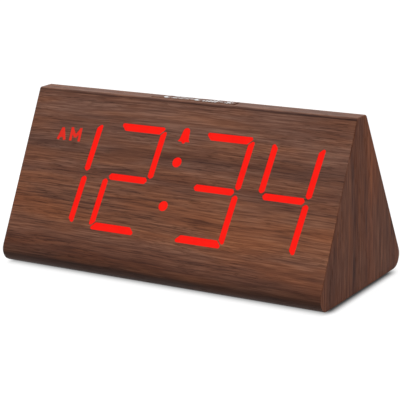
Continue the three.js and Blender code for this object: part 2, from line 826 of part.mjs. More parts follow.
// The wedge-shaped block that is glued between the sloping walls. It guides the bar's posts and has pegs for
// the switch board.
function snoozeHousing() {
  const top = -snoozeHousingDepth;
  const low = top - snoozeHousingHeight;
  const side = (level) => roomAt(-level) - seatGap / leanCosine;
  const section = new THREE.Shape([
    new THREE.Vector2(-side(low), low),
    new THREE.Vector2(side(low), low),
    new THREE.Vector2(side(top), top),
    new THREE.Vector2(-side(top), top),
  ]);
  const length = snoozeLength + 2 * snoozeHousingOverhang;
  const lengthwise = new THREE.Matrix4().makeBasis(back, new THREE.Vector3(0, 0, 1), right);
  const block = new THREE.ExtrudeGeometry(section, { depth: length, bevelEnabled: false })
    .translate(0, 0, -length / 2).applyMatrix4(lengthwise);
  const boardTop = snoozeBoardTop();
  const pegs = snoozePegPlaces().map((x) => stake(
    low + seatGap, boardTop, boardTop - snoozeBoardThickness, x, 0));
  const well = plate(tactSide + 2 * seatGap, tactSide + 2 * seatGap, low - overrun, top + overrun);
  const guides = snoozePostPlaces().map((x) => disc(
    snoozePostRadius + runningGap, low - overrun, top + overrun, x, 0, smallSides));
  return cut(join(block, ...pegs), well, ...guides);
}

function snoozePegPlaces() {
  return [-1, 1].map((side) => side * (snoozeLength / 4));
}

function snoozeBoard() {
  const top = snoozeBoardTop();
  const board = plate(snoozeLength, snoozeBoardWidth, top - snoozeBoardThickness, top);
  const pegHoles = snoozePegPlaces().map((x) => disc(
    stakeRadius + seatGap, top - snoozeBoardThickness - overrun, top + overrun, x, 0, smallSides));
  return cut(board, ...pegHoles);
}

function snoozeParts() {
  const boardTop = snoozeBoardTop();
  const switchTop = -snoozeHousingDepth;
  const pressed = tactPlungerHeight + snoozeTravel + seatGap;
  const body = cut(
    plate(tactSide, tactSide, boardTop + seatGap, switchTop),
    disc(tactPlungerRadius + runningGap, switchTop - pressed, switchTop + overrun, 0, 0, smallSides),
  );
  const plunger = disc(tactPlungerRadius, switchTop - tactPlungerHeight, plungerTop(), 0, 0, smallSides);
  return assembly(
    topFrame,
    part('snooze_button', snoozeButton(), snoozePlastic),
    part('snooze_housing', snoozeHousing(), blackPlastic),
    part('snooze_switch', body, chipBlack),
    part('snooze_switch_plunger', plunger, greyPlastic),
    part('snooze_board', snoozeBoard(), circuitGreen),
  );
}

// Rear panel

// A column of the panel, as a distance from its middle.
function column(share) {
  return share * panelLength / 2;
}

function panelScrewPlaces() {
  const x = panelLength / 2 - screwInset;
  const y = panelHeight / 2 - screwInset;
  return [[-x, -y], [x, -y], [x, y], [-x, y]].map(([across, up]) => [across, panelCentreHeight + up]);
}

function postPlaces() {
  const x = controlBoardLength / 2 - postEndInset + overrun;
  const y = controlBoardHeight / 2 - postEdgeInset + overrun;
  return [[-x, -y], [x, -y], [x, y], [-x, y]].map(([across, up]) => [across, panelCentreHeight + up]);
}

function buttonPlaces() {
  const names = ['set', 'alarm', 'up', 'down'];
  return names.map((name, index) => [name, column(buttonColumnShare) + index * buttonPitch]);
}

// The slide switches and the dimmer: where each slider rests, and how far it goes to the right from there.
function sliders() {
  return [
    { name: 'alarm', across: column(slideColumnShare), up: lowerRow, travel: slideTravel },
    { name: 'hour_format', across: column(slideColumnShare) + slidePitch, up: lowerRow, travel: slideTravel },
    { name: 'dimmer', across: column(dimmerColumnShare), up: upperRow, travel: dimmerTravel },
  ];
}

function grilleCutters() {
  const rows = Array.from({ length: grilleSlots }, (_, index) => index - (grilleSlots - 1) / 2);
  return rows.map((row) => plate(grilleSlotLength, grilleSlotHeight, panelBack - overrun, overrun,
    column(speakerColumnShare), panelCentreHeight + row * grillePitch));
}

// The cap's hole, with a notch for each lug between the places where the lugs rest.
function capHole() {
  const x = column(capColumnShare);
  const hole = disc(capRadius + runningGap, panelBack - overrun, overrun, x, panelCentreHeight);
  const notches = lugPlates(capLugWidth + 2 * seatGap, capLugReach + runningGap, Math.PI / capLugs)
    .map((lug) => lug(panelBack - overrun, overrun));
  return join(hole, ...notches);
}

// Plates that stick out of the cap's rim at equal angles, each made between two levels.
function lugPlates(width, reach, firstAngle) {
  const inner = capBossRadius;
  const outer = capRadius + reach;
  return Array.from({ length: capLugs }, (_, index) => (low, high) => plate(outer - inner, width, low, high,
    (inner + outer) / 2).rotateZ(firstAngle + 2 * Math.PI * index / capLugs)
    .translate(column(capColumnShare), panelCentreHeight, 0));
}

function rearPanel() {
  const sheet = roundedPlate(
    panelLength, panelHeight, panelCornerRadius, panelBack, -panelSink, panelCentreHeight);
  const posts = postPlaces().map(([x, y]) => join(
    disc(postRadius, panelBack - postLength, panelBack + seatGap, x, y, smallSides),
    stake(panelBack, controlBoardFront, controlBoardBack, x, y),
  ));
  const buttonHoles = buttonPlaces().map(([, x]) => disc(
    buttonRadius + runningGap, panelBack - overrun, overrun, x, upperRow));
  const slots = sliders().map(({ across, up, travel }) => plate(
    sliderKnobLength + travel + 2 * runningGap, sliderKnobHeight + 2 * runningGap,
    panelBack - overrun, overrun, across + travel / 2, up));
  const jackHole = disc(
    jackCollarRadius + seatGap, panelBack - overrun, overrun, column(jackColumnShare), lowerRow);
  const usbHole = plate(usbLength + 2 * seatGap, usbHeight + 2 * seatGap,
    panelBack - overrun, overrun, column(usbColumnShare), lowerRow);
  const screwHoles = panelScrewPlaces().map(([x, y]) => join(
    disc(screwShankRadius + seatGap, panelBack - overrun, overrun, x, y, smallSides),
    disc(screwHeadRadius + seatGap, -panelSink - screwHeadHeight - seatGap, overrun, x, y, smallSides),
  ));
  return cut(join(sheet, ...posts), ...buttonHoles, ...slots, ...grilleCutters(), capHole(),
    jackHole, usbHole, ...screwHoles);
}

function controlBoard() {
  const board = plate(controlBoardLength, controlBoardHeight,
    controlBoardBack, controlBoardFront, 0, panelCentreHeight);
  const holes = postPlaces().map(([x, y]) => disc(
    stakeRadius + seatGap, controlBoardBack - overrun, controlBoardFront + overrun, x, y, smallSides));
  return cut(board, ...holes);
}

function pushButton(x) {
  const flangeBack = panelBack - seatGap - buttonFlangeThickness;
  const stemEnd = onBoard + tactHeight + tactPlungerHeight + buttonTravel + seatGap;
  return join(
    pad(buttonRadius, flangeBack, buttonProud - panelSink, buttonEdge, x, upperRow),
    disc(buttonRadius + buttonFlangeReach, flangeBack, panelBack - seatGap, x, upperRow),
    disc(buttonStemRadius, stemEnd, flangeBack + seatGap, x, upperRow, smallSides),
  );
}

function tactSwitch(x) {
  const top = onBoard + tactHeight;
  return join(
    plate(tactSide, tactSide, onBoard, top, x, upperRow),
    disc(tactPlungerRadius, top - seatGap, top + tactPlungerHeight, x, upperRow, smallSides),
  );
}

// A slider's knob in its slot, its root behind the panel and the stem that reaches into the switch.
function sliderPiece(x, y) {
  const stemEnd = onBoard + slideBodyHeight - sliderStemReach;
  return join(
    plate(sliderKnobLength, sliderKnobHeight, -sliderRootDepth, sliderProud - panelSink, x, y),
    plate(sliderStemSide, sliderStemSide, stemEnd, -sliderRootDepth + seatGap, x, y),
  );
}

// The switch under a slider: a box with a channel for the stem's whole way.
function slideBody(x, y, travel) {
  const top = onBoard + slideBodyHeight;
  const channel = sliderStemSide + travel + 2 * seatGap;
  return cut(
    plate(channel + 2 * slideBodyMargin, slideBodyWidth, onBoard, top, x + travel / 2, y),
    plate(channel, sliderStemSide + 2 * seatGap,
      top - sliderStemReach - seatGap, top + overrun, x + travel / 2, y),
  );
}

function jackParts() {
  const x = column(jackColumnShare);
  const mouth = -panelSink;
  const boreFloor = mouth - jackBoreDepth;
  const body = cut(
    join(
      plate(jackSide, jackSide, onBoard, -jackShoulderDepth, x, lowerRow),
      disc(jackCollarRadius, -jackShoulderDepth - seatGap, mouth, x, lowerRow),
    ),
    disc(jackBoreRadius, boreFloor, overrun, x, lowerRow),
  );
  const pin = disc(jackPinRadius, boreFloor + seatGap, mouth - jackPinSink, x, lowerRow, smallSides);
  return [part('dc_jack', body, chipBlack), part('dc_jack_pin', pin, steel)];
}

function usbParts() {
  const x = column(usbColumnShare);
  const mouth = -panelSink;
  const floor = onBoard + usbFloor;
  const shell = cut(
    plate(usbLength, usbHeight, onBoard, mouth, x, lowerRow),
    plate(usbLength - 2 * usbWall, usbHeight - 2 * usbWall, floor, overrun, x, lowerRow),
  );
  const tongueUp = lowerRow + usbHeight / 2 - usbWall - seatGap - usbTongueThickness / 2;
  const tongue = plate(
    usbTongueLength, usbTongueThickness, floor + seatGap, mouth - usbTongueSink, x, tongueUp);
  return [part('usb_port', shell, steel), part('usb_tongue', tongue, whitePlastic)];
}

// The backup cell in its holder, and the cap that closes it with a part turn.
function cellParts() {
  const x = column(capColumnShare);
  const y = panelCentreHeight;
  const lugBack = panelBack - seatGap - capLugThickness;
  const bossBack = panelBack - capBossLength;
  const cellTop = bossBack - seatGap;
  const cellBack = cellTop - cellThickness;
  const holderBack = cellBack - seatGap - holderFloor;
  const lugs = lugPlates(capLugWidth, capLugReach, 0).map((lug) => lug(lugBack, panelBack - seatGap));
  const cap = cut(
    join(
      disc(capRadius, panelBack, -panelSink, x, y),
      disc(capBossRadius + seatGap, bossBack, panelBack + seatGap, x, y),
      ...lugs,
    ),
    plate(capSlotLength, capSlotWidth, -panelSink - capSlotDepth, overrun, x, y),
  );
  const holder = cut(
    join(
      disc(cellRadius + seatGap + holderWall, holderBack, lugBack - seatGap, x, y),
      disc(holderFootRadius, onBoard, holderBack + seatGap, x, y),
    ),
    disc(cellRadius + seatGap, cellBack - seatGap, overrun, x, y),
  );
  const cell = disc(cellRadius, cellBack, cellTop, x, y);
  return [
    part('battery_cap', cap, blackPlastic),
    part('coin_holder', holder, chipBlack),
    part('coin_cell', cell, steel),
  ];
}

function speakerParts() {
  const x = column(speakerColumnShare);
  const y = panelCentreHeight;
  const front = panelBack - seatGap;
  const rear = front - speakerDepth;
  const coneRim = speakerRadius - speakerRim - seatGap;
  const coneFront = front - seatGap;
  const frameBody = cut(
    join(
      disc(speakerRadius, rear, front, x, y),
      disc(speakerMagnetRadius, rear - speakerMagnetDepth, rear + seatGap, x, y),
    ),
    disc(speakerRadius - speakerRim, coneFront - coneDepth - coneThickness - seatGap, overrun, x, y),
  );
  const cone = turned([
    [0, coneFront - coneDepth - coneThickness],
    [coneRim / 2, coneFront - coneDepth - coneThickness],
    [coneRim, coneFront - coneThickness],
    [coneRim, coneFront],
    [coneRim / 2, coneFront - coneDepth],
    [0, coneFront - coneDepth],
  ], x, y);
  return [part('speaker_frame', frameBody, chipBlack), part('speaker_cone', cone, paperCone)];
}

function innerBoardParts() {
  const top = controlBoardBack - seatGap;
  const chip = plate(clockChipSide, clockChipSide, top - chipThickness, top,
    column(slideColumnShare), panelCentreHeight);
  const crystal = new THREE.CylinderGeometry(crystalRadius, crystalRadius, crystalLength, smallSides)
    .rotateZ(Math.PI / 2)
    .translate(column(dimmerColumnShare), panelCentreHeight, top - crystalRadius);
  return [part('clock_chip', chip, chipBlack), part('crystal', crystal, steel)];
}

function rearParts() {
  const buttons = buttonPlaces().flatMap(([name, x]) => [
    part(`${name}_button`, pushButton(x), greyPlastic),
    part(`${name}_tact_switch`, tactSwitch(x), chipBlack),
  ]);
  const slides = sliders().flatMap(({ name, across, up, travel }) => [
    part(`${name}_slider`, sliderPiece(across, up), greyPlastic),
    part(`${name}_switch`, slideBody(across, up, travel), chipBlack),
  ]);
  const screws = panelScrewPlaces().map(([x, y], index) => part(
    `rear_panel_screw_${index + 1}`, screw(-panelSink, -panelSink - screwLength, x, y), steel));
  return assembly(
    rearFrame,
    part('rear_panel', rearPanel(), blackPlastic),
    ...screws,
    part('control_board', controlBoard(), circuitGreen),
    ...innerBoardParts(),
    ...buttons,
    ...slides,
    ...jackParts(),
    ...usbParts(),
    ...cellParts(),
    ...speakerParts(),
  );
}

// Leads

// A place in a face's frame, in the clock's own frame.
function placeIn(faceFrame, across, up, outward) {
  return new THREE.Vector3(across, up, outward).applyMatrix4(faceFrame);
}

// A lead of one section that leaves and meets its two faces square.
function lead(section, from, fromNormal, to, toNormal, straight) {
  const path = new THREE.CatmullRomCurve3([
    from,
    from.clone().addScaledVector(fromNormal, straight),
    to.clone().addScaledVector(toNormal, straight),
    to,
  ]);
  return new THREE.ExtrudeGeometry(section, { steps: leadSteps, extrudePath: path, bevelEnabled: false });
}

// The flat cable between the two boards, with a plug at each end.
function displayRibbon() {
  const x = displayOffset + ribbonColumnShare * displayBoardLength / 2;
  const frontInward = new THREE.Vector3(0, 0, -1).transformDirection(frontFrame);
  const rearInward = new THREE.Vector3(0, 0, -1).transformDirection(rearFrame);
  const plugTop = -seatGap - ribbonPlugDepth;
  const frontPlug = plate(ribbonWidth, ribbonPlugHeight, displayBoardBack + plugTop,
    displayBoardBack - seatGap, x, middleRowHeight - digitRise / 2).applyMatrix4(frontFrame);
  const rearPlug = plate(ribbonWidth, ribbonPlugHeight, controlBoardBack + plugTop,
    controlBoardBack - seatGap, -x, lowerRow).applyMatrix4(rearFrame);
  const from = placeIn(frontFrame, x, middleRowHeight - digitRise / 2, displayBoardBack + plugTop + seatGap);
  const to = placeIn(rearFrame, -x, lowerRow, controlBoardBack + plugTop + seatGap);
  const section = new THREE.Shape([
    new THREE.Vector2(-ribbonThickness / 2, -ribbonWidth / 2 + seatGap),
    new THREE.Vector2(ribbonThickness / 2, -ribbonWidth / 2 + seatGap),
    new THREE.Vector2(ribbonThickness / 2, ribbonWidth / 2 - seatGap),
    new THREE.Vector2(-ribbonThickness / 2, ribbonWidth / 2 - seatGap),
  ]);
  const cable = lead(section, from, frontInward, to, rearInward, leadStraight + ribbonPlugDepth);
  return join(frontPlug, rearPlug, cable);
}

function roundSection(radius, sides) {
  return new THREE.Shape(circle(radius, 0, 0, sides).map(([x, y]) => new THREE.Vector2(x, y)));
}

function snoozeLead() {
  const x = snoozeLength / 2 - stakeHeadRadius;
  const down = new THREE.Vector3(0, 0, -1);
  const rearInward = down.clone().transformDirection(rearFrame);
  const from = placeIn(topFrame, x, 0, snoozeBoardTop() - snoozeBoardThickness - seatGap);
  const to = placeIn(rearFrame, -x, panelCentreHeight + controlBoardHeight / 2 - leadStraight,
    controlBoardBack - seatGap);
  return lead(roundSection(leadRadius, leadSides), from, down, to, rearInward, leadStraight);
}

// The speaker's lead goes from its magnet's rim to the board behind it.
function speakerLead() {
  const x = column(speakerColumnShare) + speakerRadius - speakerRim;
  const start = panelBack - seatGap - speakerDepth - seatGap;
  return disc(leadRadius, onBoard, start, x, panelCentreHeight, leadSides);
}

function leadParts() {
  return [
    part('display_ribbon', displayRibbon(), leadGrey),
    part('snooze_lead', snoozeLead(), leadGrey),
    assembly(rearFrame, part('speaker_lead', speakerLead(), leadGrey)),
  ];
}

const clock = new THREE.Group();
clock.add(...caseParts(), displayParts(), snoozeParts(), rearParts(), ...leadParts());

export default clock;
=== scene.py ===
"""A wooden digital alarm clock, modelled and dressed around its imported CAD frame.

Everything is in metres. +X is to the right seen from the front, +Y to the back and +Z up. Pieces on a
leaning face are modelled flat, with X across the face, Y up the slope and Z out of it, and are then put on
that face.
"""

import json
import logging
import math
from collections.abc import Callable, Iterable, Sequence
from dataclasses import dataclass
from enum import Enum
from typing import Protocol

import bmesh
import bpy
from mathutils import Color, Matrix, Vector

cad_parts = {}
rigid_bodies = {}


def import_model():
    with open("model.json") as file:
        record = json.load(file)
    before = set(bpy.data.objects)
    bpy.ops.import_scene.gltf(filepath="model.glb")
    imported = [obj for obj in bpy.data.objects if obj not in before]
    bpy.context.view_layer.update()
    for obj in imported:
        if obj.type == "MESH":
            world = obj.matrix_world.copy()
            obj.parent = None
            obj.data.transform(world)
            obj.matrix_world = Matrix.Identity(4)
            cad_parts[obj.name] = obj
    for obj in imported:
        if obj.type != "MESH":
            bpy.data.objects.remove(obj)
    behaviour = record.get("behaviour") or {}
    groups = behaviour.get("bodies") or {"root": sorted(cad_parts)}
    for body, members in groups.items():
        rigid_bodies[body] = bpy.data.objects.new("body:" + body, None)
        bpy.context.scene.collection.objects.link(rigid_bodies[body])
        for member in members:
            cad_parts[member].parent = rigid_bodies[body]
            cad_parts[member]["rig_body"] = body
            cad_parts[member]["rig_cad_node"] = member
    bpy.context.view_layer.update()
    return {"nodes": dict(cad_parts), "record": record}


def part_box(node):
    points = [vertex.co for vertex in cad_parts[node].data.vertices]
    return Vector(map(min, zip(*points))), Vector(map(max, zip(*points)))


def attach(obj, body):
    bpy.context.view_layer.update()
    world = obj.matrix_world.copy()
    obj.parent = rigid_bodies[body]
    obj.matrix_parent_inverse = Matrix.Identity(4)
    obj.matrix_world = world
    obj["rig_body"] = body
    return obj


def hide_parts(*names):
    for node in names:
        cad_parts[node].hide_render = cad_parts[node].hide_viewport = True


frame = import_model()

LOG = logging.getLogger("alarm_clock")
Piece = bpy.types.Object
Socket = bpy.types.NodeSocket
Pair = tuple[float, float]
Triple = tuple[float, float, float]
Colour = tuple[float, float, float, float]
Bars = tuple[tuple[Pair, Pair], ...]
Value = Socket | float | Sequence[float]
Feeds = dict[str | int, Value]

SCREEN_WHITE = 255
HAIR = 1e-6  # a distance that counts as none
NEAR = 1e-5  # a distance within which an edge belongs to a face
LEVEL = 0.99  # how far up or down a face must look to count as level
ASIDE = 0.1  # how little up or down an edge may look to count as upright
CREASE = 0.5  # the fold in radians past which an edge is a corner
RIM = 0.98  # the share of a radius past which an edge is on the rim


class Kind(Enum):
    """The kinds of element that a mesh is edited by."""

    CORNERS = "VERT"
    EDGES = "EDGE"
    FACES = "FACE"


class Cut(Enum):
    """The ways in which one piece shapes another."""

    AWAY = "DIFFERENCE"
    WITHIN = "INTERSECT"
    TOGETHER = "UNION"


class Grain(Enum):
    """The ways the grain runs, each as the turn that brings it onto X."""

    ALONG = (0.0, 0.0, 0.0)
    UPRIGHT = (0.0, math.radians(90), 0.0)


@dataclass(frozen=True)
class Spot:
    """One element of a mesh: its middle, the way it faces and how sharply the surface folds there."""

    place: Vector
    facing: Vector
    fold: float = 0.0

    @property
    def up(self) -> bool:
        """Whether it looks straight up."""
        return self.facing.z > LEVEL

    @property
    def down(self) -> bool:
        """Whether it looks straight down."""
        return self.facing.z < -LEVEL

    @property
    def upright(self) -> bool:
        """Whether it looks sideways, as an upright edge does."""
        return abs(self.facing.z) < ASIDE

    @property
    def creased(self) -> bool:
        """Whether it is a corner and not a step of a round."""
        return self.fold > CREASE


def paint(red: float, green: float, blue: float) -> Colour:
    """Turns a screen colour into the linear one that sockets take.

    Args:
        red, green, blue: the screen colour's parts, from 0 to 255.

    Returns:
        The linear colour, opaque.
    """
    screen = Color((red / SCREEN_WHITE, green / SCREEN_WHITE, blue / SCREEN_WHITE))
    return *screen.from_srgb_to_scene_linear(), 1.0


class Bench:
    """The modelling steps, each done with Blender's own operators."""

    DOUBLE = 2e-6  # points closer than this are one
    FLAT = math.radians(0.4)  # faces that fold less than this are one

    @staticmethod
    def take(*pieces: Piece) -> None:
        """Leaves edit mode and selects these pieces alone, the first one active.

        Args:
            pieces: the pieces to work on.
        """
        if bpy.context.view_layer.objects.active and bpy.context.mode != "OBJECT":
            bpy.ops.object.mode_set(mode="OBJECT")
        bpy.ops.object.select_all(action="DESELECT")
        for piece in pieces:
            piece.select_set(True)
        if pieces:
            bpy.context.view_layer.objects.active = pieces[0]

    @staticmethod
    def named(name: str) -> Piece:
        """Names the piece just added, with its place and scale in its mesh.

        Args:
            name: the piece's name.

        Returns:
            The piece, selected alone.
        """
        piece = bpy.context.view_layer.objects.active
        piece.name = piece.data.name = name
        Bench.take(piece)
        bpy.ops.object.transform_apply(location=True, rotation=True, scale=True)
        return piece

    @staticmethod
    def block(name: str, size: Sequence[float], centre: Sequence[float] = (0, 0, 0)) -> Piece:
        """Adds a box to start from.

        Args:
            name: the piece's name.
            size: its length, width and height.
            centre: its middle.

        Returns:
            The box.
        """
        Bench.take()
        bpy.ops.mesh.primitive_cube_add(size=1, location=centre, scale=size)
        return Bench.named(name)

    @staticmethod
    def disc(name: str, radius: float, low: float, high: float, at: Sequence[float] = (0, 0),
             sides: int = 64) -> Piece:
        """Adds an upright round bar to start from.

        Args:
            name: the piece's name.
            radius: its radius.
            low, high: the levels of its ends.
            at: where its axis stands.
            sides: the number of its sides.

        Returns:
            The bar.
        """
        Bench.take()
        bpy.ops.mesh.primitive_cylinder_add(
            vertices=sides, radius=radius, depth=high - low, location=(at[0], at[1], (low + high) / 2))
        return Bench.named(name)

    @staticmethod
    def twin(source: Piece, name: str) -> Piece:
        """Copies a piece or a CAD node with a mesh of its own.

        Args:
            source: what is copied.
            name: the copy's name.

        Returns:
            The copy, free of any body.
        """
        Bench.take(source)
        bpy.ops.object.duplicate()
        piece = bpy.context.view_layer.objects.active
        bpy.ops.object.parent_clear(type="CLEAR_KEEP_TRANSFORM")
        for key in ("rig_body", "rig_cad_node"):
            if key in piece:
                del piece[key]
        return Bench.named(name)

    @staticmethod
    def from_node(node: str, name: str) -> Piece:
        """Copies a CAD node, its loose triangles merged into whole faces.

        Args:
            node: the CAD node's name.
            name: the copy's name.

        Returns:
            The copy.
        """
        piece = Bench.twin(frame["nodes"][node], name)
        Bench.weld(piece)
        bpy.ops.mesh.dissolve_limited(angle_limit=Bench.FLAT)
        Bench.take(piece)
        return piece

    @staticmethod
    def choose(piece: Piece, kind: Kind, test: Callable[[Spot], bool] | None = None,
               face: Matrix | None = None) -> None:
        """Opens a piece for editing with only the elements that pass a test selected.

        Args:
            piece: the piece to edit.
            kind: what to select.
            test: says of each element whether it is wanted; without it all of them are.
            face: the face whose own directions the test reads, if not the clock's.
        """
        Bench.take(piece)
        bpy.ops.object.mode_set(mode="EDIT")
        bpy.ops.mesh.select_mode(type=kind.value)
        bpy.ops.mesh.select_all(action="DESELECT")
        back = (face or Matrix.Identity(4)).inverted()
        mesh = bmesh.from_edit_mesh(piece.data)
        mesh.normal_update()
        for element in {Kind.CORNERS: mesh.verts, Kind.EDGES: mesh.edges, Kind.FACES: mesh.faces}[kind]:
            if kind is Kind.EDGES:
                place = (element.verts[0].co + element.verts[1].co) / 2
                facing = sum((side.normal for side in element.link_faces), Vector())
                spot = Spot(back @ place, back.to_3x3() @ facing.normalized(), element.calc_face_angle(0.0))
            else:
                place = element.co if kind is Kind.CORNERS else element.calc_center_median()
                spot = Spot(back @ place, back.to_3x3() @ element.normal)
            if test is None or test(spot):
                element.select_set(True)
        mesh.select_flush_mode()
        bmesh.update_edit_mesh(piece.data)

    @staticmethod
    def weld(piece: Piece) -> None:
        """Merges points that lie almost together, and leaves the piece open with all of it selected."""
        Bench.choose(piece, Kind.FACES)
        bpy.ops.mesh.remove_doubles(threshold=Bench.DOUBLE)

    @staticmethod
    def bevel(width: float, segments: int = 3) -> None:
        """Rounds the chosen edges."""
        bpy.ops.mesh.bevel(offset_type="OFFSET", offset=width, segments=segments, affect="EDGES",
                           clamp_overlap=True)

    @staticmethod
    def round_rim(piece: Piece, radius: float, level: float, width: float, segments: int) -> None:
        """Rounds the edge round a disc's top.

        Args:
            piece: the piece, with the disc at its middle.
            radius: the disc's radius.
            level: the level of its top.
            width: the width of the round.
            segments: its steps.
        """
        Bench.choose(piece, Kind.EDGES, lambda spot: (
            spot.place.z > level - HAIR and spot.place.xy.length > radius * RIM))
        Bench.bevel(width, segments)

    @staticmethod
    def inset(thickness: float, depth: float = 0.0) -> None:
        """Draws the chosen face in from its rim, and sinks it where the depth is negative."""
        bpy.ops.mesh.inset(thickness=thickness, depth=depth, use_even_offset=True)

    @staticmethod
    def extrude(rise: float) -> None:
        """Draws the chosen face out along Z."""
        bpy.ops.mesh.extrude_region_move(TRANSFORM_OT_translate={"value": (0, 0, rise)})

    @staticmethod
    def spread(scale: Sequence[float], about: Sequence[float]) -> None:
        """Scales what is chosen about a point."""
        bpy.ops.transform.resize(value=scale, center_override=about)

    @staticmethod
    def shape(piece: Piece, tool: Piece, how: Cut) -> None:
        """Shapes a piece with a tool piece, which is used up.

        Args:
            piece: the piece that is kept.
            tool: the piece that cuts it, bounds it or is joined to it.
            how: the way the tool acts.
        """
        Bench.take(piece)
        step = piece.modifiers.new("shape", "BOOLEAN")
        step.operation, step.object, step.solver = how.value, tool, "EXACT"
        bpy.ops.object.modifier_apply(modifier=step.name)
        bpy.data.objects.remove(tool)

    @staticmethod
    def merge(name: str, pieces: Sequence[Piece]) -> Piece:
        """Joins separate small forms into one piece.

        Args:
            name: the name of the whole.
            pieces: the forms.

        Returns:
            The one piece.
        """
        Bench.take(*pieces)
        bpy.ops.object.join()
        pieces[0].name = pieces[0].data.name = name
        return pieces[0]

    @staticmethod
    def soften(piece: Piece, width: float, segments: int = 2, angle: float = 50.0) -> None:
        """Breaks every sharp edge of a piece with a small round.

        Args:
            piece: the piece.
            width: the width of the round.
            segments: its steps.
            angle: the fold in degrees past which an edge is sharp.
        """
        Bench.take(piece)
        step = piece.modifiers.new("soften", "BEVEL")
        step.width, step.segments, step.limit_method = width, segments, "ANGLE"
        step.angle_limit, step.use_clamp_overlap = math.radians(angle), True
        step.miter_outer = "MITER_ARC"
        bpy.ops.object.modifier_apply(modifier=step.name)

    @staticmethod
    def smooth(piece: Piece, angle: float = 32.0) -> None:
        """Shades a piece's rounds smoothly and keeps its flats flat, with near points merged first.

        Args:
            piece: the piece.
            angle: the fold in degrees past which an edge stays crisp.
        """
        Bench.weld(piece)
        Bench.take(piece)
        bpy.ops.object.shade_smooth_by_angle(angle=math.radians(angle))
        step = piece.modifiers.new("flats", "WEIGHTED_NORMAL")
        step.keep_sharp = True
        bpy.ops.object.modifier_apply(modifier=step.name)

    @staticmethod
    def put(piece: Piece, face: Matrix) -> None:
        """Puts a piece that was modelled flat onto its face, with the place in its mesh.

        Args:
            piece: the piece.
            face: the face's matrix.
        """
        Bench.take(piece)
        piece.matrix_world = face
        bpy.ops.object.transform_apply(location=True, rotation=True, scale=True)

    @staticmethod
    def turned(degrees: float) -> Matrix:
        """Gives a turn about Z."""
        return Matrix.Rotation(math.radians(degrees), 4, "Z")


@dataclass(frozen=True)
class Print:
    """Thin print that lies half sunk in a flat surface."""

    level: float
    rise: float = 0.00005
    curve_steps: int = 3

    def dot(self, at: Pair, radius: float, sides: int = 20) -> Piece:
        """Prints a round dot."""
        return Bench.disc("dot", radius, self.level - self.rise, self.level + self.rise, at, sides)

    def bar(self, at: Pair, size: Pair, turn: float = 0.0, out: float = 0.0) -> Piece:
        """Prints a bar.

        Args:
            at: the point that it is turned about.
            size: its length and width.
            turn: its turn in degrees.
            out: how far its middle lies from that point, along its length.

        Returns:
            The bar.
        """
        bar = Bench.block("bar", (*size, 2 * self.rise), (out, 0, 0))
        Bench.put(bar, Matrix.Translation((*at, self.level)) @ Bench.turned(turn))
        return bar

    def ring(self, at: Pair, radius: float, width: float, sides: int = 40) -> Piece:
        """Prints a ring.

        Args:
            at: its middle.
            radius: its outer radius.
            width: how wide its band is.
            sides: the number of its sides.

        Returns:
            The ring.
        """
        ring = self.dot(at, radius, sides)
        Bench.choose(ring, Kind.FACES, lambda spot: spot.up or spot.down)
        Bench.inset(width)
        bpy.ops.mesh.bridge_edge_loops()
        Bench.take(ring)
        return ring

    def text(self, words: str, height: float, at: Pair) -> Piece:
        """Prints plain letters or figures.

        Args:
            words: what is written.
            height: the letters' size.
            at: the middle of the text.

        Returns:
            The letters as one mesh.
        """
        Bench.take()
        bpy.ops.object.text_add(location=(*at, self.level))
        line = bpy.context.view_layer.objects.active
        line.data.body, line.data.size, line.data.extrude = words, height, self.rise
        line.data.align_x, line.data.align_y = "CENTER", "CENTER"
        line.data.resolution_u = self.curve_steps
        Bench.take(line)
        bpy.ops.object.convert(target="MESH")
        letters = Bench.named("letters")
        Bench.weld(letters)
        Bench.take(letters)
        return letters


@dataclass(frozen=True)
class Layer:
    """One layer of noise: how fine it is along X, Y and Z, its overall scale, its detail and its shift."""

    fineness: Triple = (1, 1, 1)
    scale: float = 1.0
    detail: float = 2.0
    roughness: float = 0.55
    shift: Triple = (0, 0, 0)


